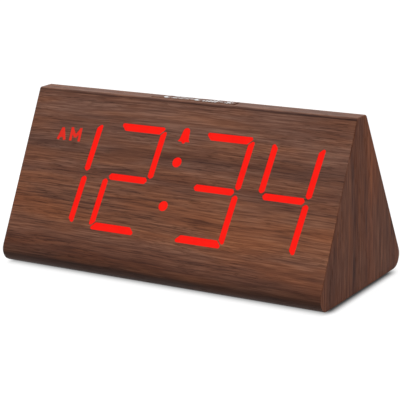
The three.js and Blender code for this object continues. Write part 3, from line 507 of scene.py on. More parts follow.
class Graph:
    """A node tree being built, with short calls for the nodes that the finishes use."""

    NOISE_SPAN = (0.3, 0.7)  # the range that most of a noise lies in
    MIX_FIRST, MIX_SECOND, MIX_RESULT = 6, 7, 2  # where a Mix node keeps its colours

    def __init__(self, tree: bpy.types.NodeTree) -> None:
        """Keeps the tree that nodes are added to."""
        self.tree = tree

    def node(self, kind: str, inputs: Feeds | None = None, **settings: object) -> bpy.types.Node:
        """Adds a node.

        Args:
            kind: the node's type.
            inputs: what its inputs are fed.
            settings: its own properties.

        Returns:
            The node.
        """
        made = self.tree.nodes.new(kind)
        for key, value in settings.items():
            setattr(made, key, value)
        for key, value in (inputs or {}).items():
            self.feed(made.inputs[key], value)
        return made

    def feed(self, socket: Socket, value: Value) -> None:
        """Links a socket to another one, or sets its plain value.

        Args:
            socket: the input.
            value: an output socket, a number, a vector or a colour.
        """
        if isinstance(value, Socket):
            self.tree.links.new(value, socket)
        else:
            socket.default_value = value

    def calc(self, how: str, first: Value, second: Value = 0.0, clamp: bool = False) -> Socket:
        """Adds one step of arithmetic.

        Args:
            how: the operation's name.
            first, second: the two values.
            clamp: whether the result stays from 0 to 1.

        Returns:
            The result.
        """
        return self.node("ShaderNodeMath", {0: first, 1: second}, operation=how, use_clamp=clamp).outputs[0]

    def sway(self, noise: Socket, amount: Value) -> Socket:
        """Turns a noise into a swing about nought, as wide as the amount."""
        return self.calc("MULTIPLY", self.calc("SUBTRACT", noise, 0.5), amount)

    def placed(self, vector: Socket, scale: Sequence[float] = (1, 1, 1), turn: Sequence[float] = (0, 0, 0),
               shift: Sequence[float] = (0, 0, 0)) -> Socket:
        """Scales, turns and shifts coordinates.

        Args:
            vector: the coordinates.
            scale, turn, shift: what is done to them.

        Returns:
            The new coordinates.
        """
        return self.node("ShaderNodeMapping", {
            "Vector": vector, "Scale": scale, "Rotation": turn, "Location": shift}).outputs[0]

    def noise(self, vector: Socket, layer: Layer, scale: Socket | None = None) -> Socket:
        """Adds a layer of soft noise.

        Args:
            vector: the coordinates.
            layer: how the noise is made up.
            scale: its overall scale, where a socket gives it.

        Returns:
            The noise's value.
        """
        return self.node("ShaderNodeTexNoise", {
            "Vector": self.placed(vector, layer.fineness, shift=layer.shift), "Scale": scale or layer.scale,
            "Detail": layer.detail, "Roughness": layer.roughness}).outputs[0]

    def range(self, value: Socket, ends: Pair = (0.0, 1.0), span: Pair = NOISE_SPAN) -> Socket:
        """Maps one range of a value smoothly onto another.

        Args:
            value: the value.
            ends: what the ends of the range become.
            span: the range that is read.

        Returns:
            The mapped value, clamped.
        """
        inputs = dict(enumerate((value, *span, *ends)))
        return self.node("ShaderNodeMapRange", inputs, interpolation_type="SMOOTHSTEP").outputs[0]

    def mix(self, share: Value, first: Value, second: Value, how: str = "MIX") -> Socket:
        """Mixes two colours.

        Args:
            share: how much of the second.
            first, second: the colours.
            how: the way they mix.

        Returns:
            The mixed colour.
        """
        inputs = {0: share, self.MIX_FIRST: first, self.MIX_SECOND: second}
        made = self.node("ShaderNodeMix", inputs, data_type="RGBA", blend_type=how)
        return made.outputs[self.MIX_RESULT]

    def parts(self, vector: Socket) -> bpy.types.NodeOutputs:
        """Splits coordinates into outputs named X, Y and Z."""
        return self.node("ShaderNodeSeparateXYZ", {0: vector}).outputs

    def height(self, value: Socket, depth: float) -> Socket:
        """Turns a height from 0 to 1, with its real depth, into a normal."""
        return self.node("ShaderNodeBump", {"Distance": depth, "Height": value}).outputs[0]

    def seen(self) -> Socket:
        """Tells the rays that see or mirror a surface from those that are lit by it.

        Returns:
            One for camera, glossy and transmission rays, and otherwise nought.
        """
        rays = self.node("ShaderNodeLightPath").outputs
        mirrored = self.calc("MAXIMUM", rays["Is Glossy Ray"], rays["Is Transmission Ray"])
        return self.calc("MAXIMUM", rays["Is Camera Ray"], mirrored)


class Effect:
    """A node group that finishes share: it turns coordinates into a colour, a roughness and a height."""

    NAME = ""
    TAKES: dict[str, Value] = {}
    GIVES = {"Color": "NodeSocketColor", "Roughness": "NodeSocketFloat", "Height": "NodeSocketFloat"}

    @classmethod
    def wire(cls, graph: Graph, takes: dict[str, Socket]) -> Sequence[Socket]:
        """Builds the effect's own nodes and returns what it gives."""
        raise NotImplementedError

    @classmethod
    def tree(cls) -> bpy.types.NodeTree:
        """Builds the group, or finds it where it has been built.

        Returns:
            The group.
        """
        if cls.NAME in bpy.data.node_groups:
            return bpy.data.node_groups[cls.NAME]
        tree = bpy.data.node_groups.new(cls.NAME, "ShaderNodeTree")
        tree.interface.new_socket("Vector", in_out="INPUT", socket_type="NodeSocketVector")
        for label, value in cls.TAKES.items():
            kind = "NodeSocketFloat" if isinstance(value, float) else "NodeSocketColor"
            tree.interface.new_socket(label, in_out="INPUT", socket_type=kind).default_value = value
        for label, kind in cls.GIVES.items():
            tree.interface.new_socket(label, in_out="OUTPUT", socket_type=kind)
        graph = Graph(tree)
        takes = {socket.name: socket for socket in graph.node("NodeGroupInput").outputs if socket.name}
        made = cls.wire(graph, takes)
        for socket, value in zip(graph.node("NodeGroupOutput").inputs, made):
            graph.feed(socket, value)
        return tree

    @classmethod
    def use(cls, graph: Graph, inputs: Feeds) -> Sequence[Socket]:
        """Places the effect in a material.

        Args:
            graph: the material's node tree.
            inputs: its values for this finish.

        Returns:
            The colour, the roughness and the height.
        """
        made = graph.node("ShaderNodeGroup", inputs, node_tree=cls.tree())
        return [made.outputs[label] for label in cls.GIVES]


class WoodGrain(Effect):
    """The figure of walnut veneer along X: soft bands, fine fibres and short dark pores."""

    NAME = "wood_grain"
    TAKES = {"Dark": (0.05, 0.03, 0.02, 1), "Middle": (0.13, 0.07, 0.05, 1), "Light": (0.22, 0.14, 0.1, 1),
             "Band Scale": 60.0, "Mottle": 0.4, "Pores": 0.6, "Warmth": 0.6}
    WANDER, DRIFT = Layer((7, 16, 16)), 0.004
    BANDS, BAND_TONE = Layer((0.05, 1, 1), detail=3.0, roughness=0.5), (0.08, 0.36)
    RIBBONS, RIBBON_TONE = Layer((17, 520, 520), detail=4.0, roughness=0.6), (0.0, 0.34)
    FIBRES, FIBRE_TONE = Layer((60, 1500, 1500), roughness=0.5), (-0.14, 0.28)
    CLOUDS = Layer((26, 60, 60), detail=3.0, roughness=0.6)
    DARK_SPAN, LIGHT_SPAN = (0.0, 0.5), (0.42, 1.0)
    HUES, HUE_SPAN = Layer((18, 110, 110), shift=(5, 2, 7)), (0.36, 0.64)
    COOL, WARM = (0.9, 0.94, 1.0, 1), (1.0, 0.86, 0.72, 1)
    DASHES, DASH_SPAN = Layer((170, 2300, 2300), detail=1.0, roughness=0.4), (0.585, 0.66)
    THICKETS, THICKET_SPAN = Layer((14, 120, 120), shift=(3, 1, 2)), (0.36, 0.6)
    THICKET_SHARE = (0.25, 1.0)
    PORE, PORE_SHARE, PORE_ROUGHNESS = (0.012, 0.006, 0.004, 1), 0.75, 0.2
    SATIN = (0.47, 0.55)
    FIBRE_RELIEF = 0.35

    @classmethod
    def wire(cls, graph: Graph, takes: dict[str, Socket]) -> Sequence[Socket]:
        """Builds the figure.

        Args:
            graph: the group's node tree.
            takes: the group's inputs.

        Returns:
            The colour, the roughness and the height.
        """
        drift = graph.sway(graph.noise(takes["Vector"], cls.WANDER), cls.DRIFT)
        flow = graph.node("ShaderNodeVectorMath", {0: takes["Vector"], 1: drift}, operation="ADD").outputs[0]
        bands = graph.noise(flow, cls.BANDS, takes["Band Scale"])
        ribbons = graph.noise(flow, cls.RIBBONS)
        fibres = graph.noise(flow, cls.FIBRES)
        clouds = graph.noise(takes["Vector"], cls.CLOUDS)
        tone = graph.calc("ADD", graph.range(bands, cls.BAND_TONE), graph.range(ribbons, cls.RIBBON_TONE))
        tone = graph.calc("ADD", tone, graph.sway(clouds, takes["Mottle"]))
        tone = graph.calc("ADD", tone, graph.range(fibres, cls.FIBRE_TONE), True)
        wood = graph.mix(graph.range(tone, span=cls.DARK_SPAN), takes["Dark"], takes["Middle"])
        wood = graph.mix(graph.range(tone, span=cls.LIGHT_SPAN), wood, takes["Light"])
        hue = graph.range(graph.noise(flow, cls.HUES), span=cls.HUE_SPAN)
        wood = graph.mix(takes["Warmth"], wood, graph.mix(hue, cls.COOL, cls.WARM), "MULTIPLY")
        dashes = graph.range(graph.noise(flow, cls.DASHES), span=cls.DASH_SPAN)
        thickets = graph.range(graph.noise(flow, cls.THICKETS), cls.THICKET_SHARE, cls.THICKET_SPAN)
        deep = graph.calc("MULTIPLY", dashes, thickets)
        pitted = graph.mix(cls.PORE_SHARE, wood, cls.PORE)
        colour = graph.mix(graph.calc("MULTIPLY", deep, takes["Pores"]), wood, pitted)
        dull = graph.calc("MULTIPLY", deep, cls.PORE_ROUGHNESS)
        roughness = graph.calc("ADD", graph.range(ribbons, cls.SATIN), dull)
        height = graph.calc("SUBTRACT", graph.calc("MULTIPLY", fibres, cls.FIBRE_RELIEF), deep)
        return colour, roughness, height


class MouldedSkin(Effect):
    """A moulded surface: a fine even grain and a faint unevenness of tone."""

    NAME = "moulded_skin"
    TAKES = {"Base": (0.1, 0.1, 0.1, 1), "Unevenness": 0.1, "Grain Scale": 2600.0, "Roughness": 0.5}
    GRAIN = Layer(roughness=0.6)
    CLOUD = Layer(scale=90.0, detail=3.0, roughness=0.6)
    WEAR, WEAR_SPAN, WEAR_SHINE = Layer(scale=420.0, detail=4.0, roughness=0.7), (0.52, 0.7), -0.07
    LIFT_ROUGHNESS = 0.5

    @classmethod
    def wire(cls, graph: Graph, takes: dict[str, Socket]) -> Sequence[Socket]:
        """Builds the surface.

        Args:
            graph: the group's node tree.
            takes: the group's inputs.

        Returns:
            The colour, the roughness and the height.
        """
        grain = graph.noise(takes["Vector"], cls.GRAIN, takes["Grain Scale"])
        cloud = graph.noise(takes["Vector"], cls.CLOUD)
        worn = graph.range(graph.noise(takes["Vector"], cls.WEAR), span=cls.WEAR_SPAN)
        lift = graph.calc("ADD", *(graph.sway(noise, takes["Unevenness"]) for noise in (cloud, grain)))
        scaled = {0: takes["Base"], "Scale": graph.calc("ADD", lift, 1.0)}
        colour = graph.node("ShaderNodeVectorMath", scaled, operation="SCALE").outputs[0]
        gloss = graph.calc("ADD", takes["Roughness"], graph.calc("MULTIPLY", worn, cls.WEAR_SHINE))
        gloss = graph.calc("ADD", gloss, graph.calc("MULTIPLY", lift, cls.LIFT_ROUGHNESS), True)
        return colour, gloss, grain


@dataclass(frozen=True)
class Surface:
    """A material being built: its graph, the piece's own coordinates and the shader to feed."""

    graph: Graph
    coordinates: Socket
    shader: bpy.types.Node

    def set(self, values: dict[str, Value]) -> None:
        """Feeds the shader's sockets, or sets them where the value is plain."""
        for label, value in values.items():
            self.graph.feed(self.shader.inputs[label], value)


@dataclass(frozen=True)
class Finish:
    """What every finish has: a name, and a way to dress pieces with its one material."""

    name: str

    def wire(self, surface: Surface) -> None:
        """Builds the finish's own nodes."""
        raise NotImplementedError

    def material(self) -> bpy.types.Material:
        """Makes the material, or finds it where it has been made.

        Returns:
            The material.
        """
        if self.name in bpy.data.materials:
            return bpy.data.materials[self.name]
        made = bpy.data.materials.new(self.name)
        made.use_nodes = True
        made.node_tree.nodes.clear()
        graph = Graph(made.node_tree)
        shader = graph.node("ShaderNodeBsdfPrincipled")
        graph.node("ShaderNodeOutputMaterial", {"Surface": shader.outputs[0]})
        self.wire(Surface(graph, graph.node("ShaderNodeTexCoord").outputs["Object"], shader))
        return made

    def dress(self, piece: Piece) -> None:
        """Gives a piece this finish alone.

        Args:
            piece: the piece.
        """
        if not piece.material_slots:
            piece.data.materials.append(None)
        for place in piece.material_slots:
            place.material = self.material()


@dataclass(frozen=True)
class Streak:
    """A soft band at one height, with the colour that it multiplies the wood by; some bands are tone in the
    veneer, and some are painted highlight and painted shade.
    """

    height: float
    reach: float
    colour: Triple
    bend: float = 0.012
    core: float = 0.0


@dataclass(frozen=True)
class Veneer(Finish):
    """Satin walnut veneer, its grain running one way."""

    grain: Grain
    dark: Colour
    middle: Colour
    light: Colour
    band_scale: float
    mottle: float
    pores: float
    specular: float = 0.14
    warmth: float = 0.7
    fineness: float = 1.0
    streaks_and_painted_light: tuple[Streak, ...] = ()
    axis: str = "Z"
    wave: Layer = Layer((11, 30, 30))
    relief: float = 0.00005

    def wire(self, surface: Surface) -> None:
        """Lays the grain, the bands by height and the pores; on the front some bands are painted highlight
        and painted shade.

        Args:
            surface: the material to build.
        """
        graph = surface.graph
        turned = graph.placed(surface.coordinates, turn=self.grain.value)
        turned = graph.placed(turned, (1, self.fineness, self.fineness))
        colour, roughness, height = WoodGrain.use(graph, {
            "Vector": turned, "Dark": self.dark, "Middle": self.middle, "Light": self.light,
            "Band Scale": self.band_scale, "Mottle": self.mottle, "Pores": self.pores,
            "Warmth": self.warmth})
        place = graph.parts(surface.coordinates)[self.axis]
        wave = graph.noise(turned, self.wave)
        # Bands by height multiply the colour; the front's include a painted sheen on the top and painted
        # shade on the bottom round.
        for streak in self.streaks_and_painted_light:
            bent = graph.calc("ADD", place, graph.sway(wave, streak.bend))
            away = graph.calc("ABSOLUTE", graph.calc("SUBTRACT", bent, streak.height))
            share = graph.range(away, (1.0, 0.0), (streak.core, streak.reach))
            colour = graph.mix(share, colour, (*streak.colour, 1), "MULTIPLY")
        surface.set({"Base Color": colour, "Roughness": roughness, "Specular IOR Level": self.specular,
                     "Normal": graph.height(height, self.relief)})


@dataclass(frozen=True)
class Moulded(Finish):
    """Moulded plastic, rubber or print, with its grain."""

    colour: Colour
    roughness: float = 0.5
    unevenness: float = 0.12
    grain_scale: float = 2600.0
    relief: float = 0.00002
    metallic: float = 0.0
    specular: float = 0.5

    def wire(self, surface: Surface) -> None:
        """Lays the moulded grain.

        Args:
            surface: the material to build.
        """
        colour, roughness, height = MouldedSkin.use(surface.graph, {
            "Vector": surface.coordinates, "Base": self.colour, "Unevenness": self.unevenness,
            "Grain Scale": self.grain_scale, "Roughness": self.roughness})
        surface.set({
            "Base Color": colour, "Roughness": roughness, "Metallic": self.metallic,
            "Normal": surface.graph.height(height, self.relief), "Specular IOR Level": self.specular})


@dataclass(frozen=True)
class Plated(Finish):
    """Brushed and plated metal, with a few duller patches."""

    colour: Colour
    roughness: float = 0.32
    unevenness: float = 0.1
    patches: float = 900.0
    brush: Layer = Layer((300, 5200, 5200))
    brush_roughness: Pair = (-0.06, 0.08)
    relief: float = 0.00001

    def wire(self, surface: Surface) -> None:
        """Lays the brushing over the patches.

        Args:
            surface: the material to build.
        """
        graph = surface.graph
        colour, roughness, _ = MouldedSkin.use(graph, {
            "Vector": surface.coordinates, "Base": self.colour, "Unevenness": self.unevenness,
            "Grain Scale": self.patches, "Roughness": self.roughness})
        brush = graph.noise(surface.coordinates, self.brush)
        surface.set({"Base Color": colour, "Metallic": 1.0, "Normal": graph.height(brush, self.relief),
                     "Roughness": graph.calc("ADD", roughness, graph.range(brush, self.brush_roughness))})


@dataclass(frozen=True)
class Glow(Finish):
    """Light that shines out of the display's marks, a little uneven as through real veneer."""

    bright: Colour
    dim: Colour
    base: tuple[Colour, Colour] = ((0.02, 0.002, 0.002, 1), (0.012, 0.001, 0.001, 1))
    cloud: Layer = Layer(scale=150.0)
    cloud_share: Pair = (0.15, 1.0)
    cloud_span: Pair = (0.35, 0.75)
    fibre: Layer = Layer((60, 1500, 1500))
    fibre_share: Pair = (0.5, 1.0)
    fibre_span: Pair = (0.3, 0.75)
    strength: float = 1.0
    roughness: float = 0.7

    def wire(self, surface: Surface) -> None:
        """Lays the light, its soft unevenness and the faint fibres across it.

        Args:
            surface: the material to build.
        """
        graph = surface.graph
        cloud = graph.range(graph.noise(surface.coordinates, self.cloud), self.cloud_share, self.cloud_span)
        fibre = graph.range(graph.noise(surface.coordinates, self.fibre), self.fibre_share, self.fibre_span)
        share = graph.calc("MULTIPLY", cloud, fibre)
        surface.set({
            "Emission Color": graph.mix(share, self.bright, self.dim), "Emission Strength": self.strength,
            "Base Color": graph.mix(share, *self.base), "Roughness": self.roughness,
            "Specular IOR Level": 0.0})


@dataclass(frozen=True)
class BoardMask(Finish):
    """A circuit board's green mask, with tracks in steps of a few millimetres and small pads."""

    mask: Colour
    track: Colour
    pad: Colour
    cell_scale: float = 260.0
    disorder: float = 0.55
    line_span: Pair = (0.4, 0.44)
    line_share: float = 0.8
    pad_span: Pair = (0.09, 0.11)
    pad_metal: float = 0.9
    cloud: Layer = Layer(scale=320.0, detail=3.0)
    cloud_share: Pair = (0.0, 0.25)
    gloss: Pair = (0.28, 0.42)
    relief: float = 0.00003

    def wire(self, surface: Surface) -> None:
        """Lays the mask, its tracks and its pads.

        Args:
            surface: the material to build.
        """
        graph = surface.graph
        away = graph.node("ShaderNodeTexVoronoi", {
            "Vector": surface.coordinates, "Scale": self.cell_scale, "Randomness": self.disorder},
            distance="CHEBYCHEV", feature="F1").outputs["Distance"]
        lines = graph.range(away, span=self.line_span)
        pads = graph.range(away, (1.0, 0.0), self.pad_span)
        cloud = graph.noise(surface.coordinates, self.cloud)
        green = graph.mix(graph.range(cloud, self.cloud_share), self.mask, self.track)
        green = graph.mix(graph.calc("MULTIPLY", lines, self.line_share), green, self.track)
        surface.set({
            "Base Color": graph.mix(pads, green, self.pad), "Roughness": graph.range(cloud, self.gloss),
            "Metallic": graph.calc("MULTIPLY", pads, self.pad_metal),
            "Normal": graph.height(graph.calc("ADD", lines, pads), self.relief)})


@dataclass(frozen=True)
class WhiteFloor(Finish):
    """A pale matt floor that looks white where it is seen, with a painted shadow close round the clock where
    its glow is dimmed.
    """

    tones: tuple[Colour, Colour] = ((0.25, 0.25, 0.25, 1), (0.26, 0.26, 0.26, 1))
    speck: Layer = Layer(scale=40.0, detail=3.0)
    # Painted shadow: where the floor's glow starts to dim round the footprint, and how far out it reaches.
    painted_shadow_start: Pair = (0.0984, 0.0334)
    painted_shadow_reach: Pair = (0.006, 0.012)
    lift: Pair = (0.02, 0.88)
    far: Pair = (60.0, 180.0)
    far_lift: float = 0.12

    def wire(self, surface: Surface) -> None:
        """Lays the floor's tone, and its glow where it is seen, dimmed close round the clock's footprint
        into a painted shadow.

        Args:
            surface: the material to build.
        """
        graph = surface.graph
        squares = []
        for axis, start, reach in zip("XY", self.painted_shadow_start, self.painted_shadow_reach):
            place = graph.calc("ABSOLUTE", graph.parts(surface.coordinates)[axis])
            beyond = graph.calc("MAXIMUM", graph.calc("SUBTRACT", place, start), 0.0)
            share = graph.calc("DIVIDE", beyond, reach)
            squares.append(graph.calc("MULTIPLY", share, share))
        away = graph.calc("SQRT", graph.calc("ADD", *squares))
        # Painted shadow: the glow is almost nothing at the footprint and rises to white a little way out.
        light = graph.calc("ADD", graph.range(away, self.lift, (0.0, 1.0)),
                          graph.range(away, (0.0, self.far_lift), self.far))
        surface.set({
            "Base Color": graph.mix(graph.range(graph.noise(surface.coordinates, self.speck)), *self.tones),
            "Roughness": 1.0, "Specular IOR Level": 0.0, "Emission Color": (1, 1, 1, 1),
            "Emission Strength": graph.calc("MULTIPLY", graph.seen(), light)})


class Finishes:
    """The clock's finishes, and the slots of its record that they stand for."""

    # Each streak's height, reach and colour, and its bend and core where they aren't the usual ones.
    FRONT_STREAKS_AND_PAINTED_LIGHT = (
        # Painted highlight: the first band lightens and cools the flat top, a painted sheen standing in for
        # light from above.
        Streak(0.0941, 0.0008, (1.06, 1.12, 1.14), 0.0, 0.0003),
        Streak(0.0931, 0.0009, (0.5, 0.48, 0.5), 0.0, 0.0002),
        Streak(0.0915, 0.005, (0.84, 0.84, 0.86), 0.0),
        Streak(0.083, 0.014, (0.88, 0.89, 0.92)),
        Streak(0.066, 0.007, (0.66, 0.66, 0.7)),
        Streak(0.054, 0.005, (0.8, 0.76, 0.76)),
        Streak(0.042, 0.01, (1.26, 1.17, 1.02)),
        Streak(0.031, 0.011, (1.2, 1.06, 0.88)),
        Streak(0.016, 0.013, (0.9, 0.8, 0.73)),
        # Painted shade: the last three bands darken the bottom round more and more towards the floor, shade
        # on a round that faces down.
        Streak(0.0125, 0.0045, (0.66, 0.62, 0.62), 0.006),
        Streak(0.008, 0.009, (0.72, 0.7, 0.7), 0.004),
        Streak(0.0, 0.0093, (0.34, 0.32, 0.33), 0.0012, 0.0066))
    END_STREAKS = (
        Streak(-0.032, 0.012, (0.84, 0.8, 0.8)),
        Streak(-0.008, 0.005, (0.8, 0.76, 0.76)),
        Streak(0.012, 0.01, (1.2, 1.12, 1.05)))
    WRAP = Veneer(
        "walnut_front", Grain.ALONG, paint(86, 56, 46), paint(128, 86, 68), paint(164, 117, 94),
        band_scale=62.0, mottle=0.3, pores=0.5, specular=0.11, warmth=0.8, streaks_and_painted_light=FRONT_STREAKS_AND_PAINTED_LIGHT)
    END = Veneer(
        "walnut_ends", Grain.UPRIGHT, paint(77, 43, 33), paint(120, 75, 57), paint(154, 102, 78),
        band_scale=75.0, mottle=0.34, pores=0.3, specular=0.05, fineness=0.6, streaks_and_painted_light=END_STREAKS, axis="Y")
    SNOOZE = Veneer(
        "snooze_brown", Grain.ALONG, paint(78, 51, 42), paint(112, 75, 60), paint(136, 97, 78),
        band_scale=90.0, mottle=0.3, pores=0.4)
    RED = Glow("red_light", (1.0, 0.014, 0.008, 1), (0.93, 0.012, 0.008, 1))
    LETTERS = Glow("red_light_small", (0.78, 0.03, 0.018, 1), (0.62, 0.028, 0.018, 1))
    SILVER = Moulded(
        "silver_print", (0.7, 0.69, 0.68, 1), 0.34, 0.1, grain_scale=5200.0, relief=0.00001, metallic=0.35)
    PRINT = Moulded("pale_print", paint(214, 214, 210), 0.6, 0.08, grain_scale=4200.0, relief=0.00001)
    FLOOR = WhiteFloor("floor_white")

    # The two numbers after a moulded colour are its roughness and its unevenness.
    BY_SLOT: dict[str, Finish] = {
        "walnut_veneer": WRAP,
        "walnut_end": END,
        "snooze_plastic": SNOOZE,
        "lit_red": RED,
        "black_plastic": Moulded("black_moulded", paint(28, 28, 30), 0.5, 0.25, specular=0.3),
        "grey_plastic": Moulded("grey_moulded", paint(86, 88, 90), 0.46, 0.14),
        "white_plastic": Moulded("white_moulded", paint(228, 228, 221), 0.4, 0.04),
        "milky_film": Moulded("milky_film", paint(236, 233, 226), 0.6, 0.05, grain_scale=700.0),
        "circuit_board": BoardMask("green_board", paint(24, 84, 56), paint(16, 62, 42), paint(196, 170, 96)),
        "chip_black": Moulded("moulded_black_body", paint(25, 25, 27), 0.38, 0.3, grain_scale=3600.0),
        "steel": Plated("plated_steel", (0.56, 0.57, 0.58, 1)),
        "foot_rubber": Moulded(
            "matt_rubber", paint(34, 34, 34), 0.78, 0.3, grain_scale=1500.0, relief=0.00004, specular=0.3),
        "paper_cone": Moulded(
            "pressed_paper", paint(44, 42, 42), 0.85, 0.5, grain_scale=900.0, relief=0.00008, specular=0.2),
        "lead_grey": Moulded("lead_insulation", paint(140, 140, 142), 0.55, 0.1, grain_scale=1400.0),
    }


class Assembly(Protocol):
    """What main builds: a sub-assembly of the clock, or the studio round it."""

    def build(self) -> list[Piece]:
        """Builds it and returns its pieces."""


@dataclass(frozen=True)
class Stand:
    """Where one copy of a piece goes: its name, the CAD node it stands for, its body and its place."""

    name: str
    node: str
    body: str
    place: Matrix


def finished(piece: Piece, body: str, slot: str, nodes: Iterable[str] = (),
             finish: Finish | None = None) -> Piece:
    """Dresses a piece and hands it to the frame.

    Args:
        piece: the finished piece.
        body: the body it rides on.
        slot: the record's slot that its finish comes from.
        nodes: the CAD nodes it stands for.
        finish: its finish, where it isn't the slot's own.

    Returns:
        The piece.
    """
    (finish or Finishes.BY_SLOT[slot]).dress(piece)
    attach(piece, body)
    if nodes:
        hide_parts(*nodes)
    return piece


def copies(first: Piece, slot: str, stands: Iterable[Stand]) -> list[Piece]:
    """Copies a piece to its places and dresses each copy; the first one is used up.

    Args:
        first: the piece, modelled at the middle of its face.
        slot: the record's slot that the finish comes from.
        stands: where the copies go.

    Returns:
        The copies.
    """
    made = []
    for stand in stands:
        piece = Bench.twin(first, stand.name)
        Bench.put(piece, stand.place)
        made.append(finished(piece, stand.body, slot, [stand.node]))
    bpy.data.objects.remove(first)
    return made


@dataclass(frozen=True)
class CaseShape:
    """The outside of the case between its sharp corners, and the faces that things stand on."""

    length: float = 0.2
    base_depth: float = 0.104
    top_depth: float = 0.0108
    height: float = 0.093
    stand: float = 0.001
    base_round: float = 0.0078
    top_front_round: float = 0.0015
    top_back_round: float = 0.002

    @property
    def lean(self) -> float:
        """The slopes' angle from upright."""
        return math.atan2((self.base_depth - self.top_depth) / 2, self.height)

    @property
    def rear(self) -> Matrix:
        """The leaning back: X across as seen from behind, Y up the slope and Z outwards.

        Returns:
            The face's matrix.
        """
        up, out = math.sin(self.lean), math.cos(self.lean)
        return Matrix((
            (-1, 0, 0, 0),
            (0, -up, out, self.base_depth / 2),
            (0, out, up, self.stand),
            (0, 0, 0, 1)))

    @property
    def top(self) -> Matrix:
        """The flat top."""
        return Matrix.Translation((0, 0, self.stand + self.height))

    def on_rear(self, across: float, up: float) -> Matrix:
        """Gives a place on the leaning back."""
        return self.rear @ Matrix.Translation((across, up, 0))


SHAPE = CaseShape()


@dataclass(frozen=True)
class Cabinet:
    """The folded case and its two end boards, with every outer end edge lightly rounded."""

    shape: CaseShape = SHAPE
    fillet_steps: int = 14
    edge_round: float = 0.0009
    edge_steps: int = 4
    proud: float = 0.00004  # how far the bounding solid stands out
    seam: float = 0.00003  # how far the case ends inside the end boards' faces
    tip_zone: float = 0.0006
    slot: Pair = (0.0525, 0.0069)  # the snooze opening's length and width
    slot_edge: float = 0.00025
    slot_steps: int = 2
    window: Pair = (0.1606, 0.0466)  # the rear opening's length and width
    window_height: float = 0.046  # its middle, up the slope
    window_edge: float = 0.0004
    window_steps: int = 3
    margin: float = 0.0003  # how far past an opening its edges are looked for

    def envelope(self) -> Piece:
        """Models the whole outside as one solid with rounded end edges, to bound the boards with.

        Returns:
            The solid.
        """
        shape, upright = self.shape, math.radians(90)
        middle = shape.stand + shape.height / 2
        solid = Bench.block("envelope", (shape.length, shape.base_depth, shape.height), (0, 0, middle))
        Bench.choose(solid, Kind.FACES, lambda spot: spot.up)
        Bench.spread((1, shape.top_depth / shape.base_depth, 1), (0, 0, shape.stand + shape.height))
        for radius, low, sides, inside in (
                (shape.base_round, True, (-1, 1), upright - shape.lean),
                (shape.top_front_round, False, (-1,), upright + shape.lean),
                (shape.top_back_round, False, (1,), upright + shape.lean)):
            Bench.choose(solid, Kind.EDGES, lambda spot: (
                spot.creased and abs(spot.place.x) < NEAR and (spot.place.z < middle) == low
                and math.copysign(1, spot.place.y) in sides))
            Bench.bevel(radius / math.tan(inside / 2), self.fillet_steps)
        Bench.choose(solid, Kind.CORNERS)
        Bench.spread((1, 1 + 2 * self.proud / shape.top_depth, 1 + 2 * self.proud / shape.height),
                     (0, 0, middle))
        Bench.choose(solid, Kind.EDGES, lambda spot: (
            spot.creased and abs(abs(spot.place.x) - shape.length / 2) < HAIR))
        Bench.bevel(self.edge_round, self.edge_steps)
        Bench.take(solid)
        return solid

    def wrap(self) -> Piece:
        """Finishes the folded case: ends closed up to a hairline, slot and window edges broken.

        Returns:
            The case.
        """
        piece = Bench.from_node("case_wrap", "case")
        end = self.shape.length / 2
        for side in (-1, 1):
            Bench.choose(piece, Kind.CORNERS, lambda spot: spot.place.x * side > end - self.tip_zone)
            Bench.spread((0, 1, 1), (side * (end - self.seam), 0, 0))
        Bench.shape(piece, self.envelope(), Cut.WITHIN)
        for size, height, face, edge, steps in (
                (self.slot, 0.0, self.shape.top, self.slot_edge, self.slot_steps),
                (self.window, self.window_height, self.shape.rear, self.window_edge, self.window_steps)):
            Bench.choose(piece, Kind.EDGES, lambda spot: (
                spot.creased and abs(spot.place.z) < NEAR
                and abs(spot.place.x) < size[0] / 2 + self.margin
                and abs(spot.place.y - height) < size[1] / 2 + self.margin), face)
            Bench.bevel(edge, steps)
        Bench.smooth(piece)
        return finished(piece, "case", "walnut_veneer", ["case_wrap"])

    def board(self, side: str) -> Piece:
        """Finishes an end board.

        Args:
            side: left or right.

        Returns:
            The board.
        """
        piece = Bench.from_node(f"{side}_end_panel", f"{side}_end_board")
        Bench.shape(piece, self.envelope(), Cut.WITHIN)
        Bench.smooth(piece)
        return finished(piece, "case", "walnut_end", [f"{side}_end_panel"])

    def build(self) -> list[Piece]:
        """Builds the cabinet and returns its pieces."""
        return [self.wrap(), self.board("left"), self.board("right")]


@dataclass(frozen=True)
class Feet:
    """Four rubber feet, dished underneath so that they grip."""

    radius: float = 0.006
    thickness: float = 0.002
    reach: Pair = (0.082, 0.031)  # from the clock's middle, across and along
    edge: float = 0.0004
    edge_steps: int = 4
    rim: float = 0.0014
    dish: float = 0.0003

    def foot(self) -> Piece:
        """Models one foot.

        Returns:
            The foot.
        """
        piece = Bench.disc("foot", self.radius, 0.0, self.thickness)
        Bench.choose(piece, Kind.EDGES, lambda spot: spot.creased and spot.place.z < HAIR)
        Bench.bevel(self.edge, self.edge_steps)
        Bench.choose(piece, Kind.FACES, lambda spot: spot.down)
        Bench.inset(self.rim)
        Bench.inset(self.dish, -self.dish)
        Bench.smooth(piece)
        return piece

    def build(self) -> list[Piece]:
        """Copies the foot to its four places.

        Returns:
            The feet.
        """
        stands = []
        for row, along in (("front", -self.reach[1]), ("rear", self.reach[1])):
            for side, across in (("left", -self.reach[0]), ("right", self.reach[0])):
                place = Matrix.Translation((across, along, 0))
                stands.append(Stand(f"{row}_{side}_foot", f"foot_{row}_{side}", "case", place))
        return copies(self.foot(), "foot_rubber", stands)


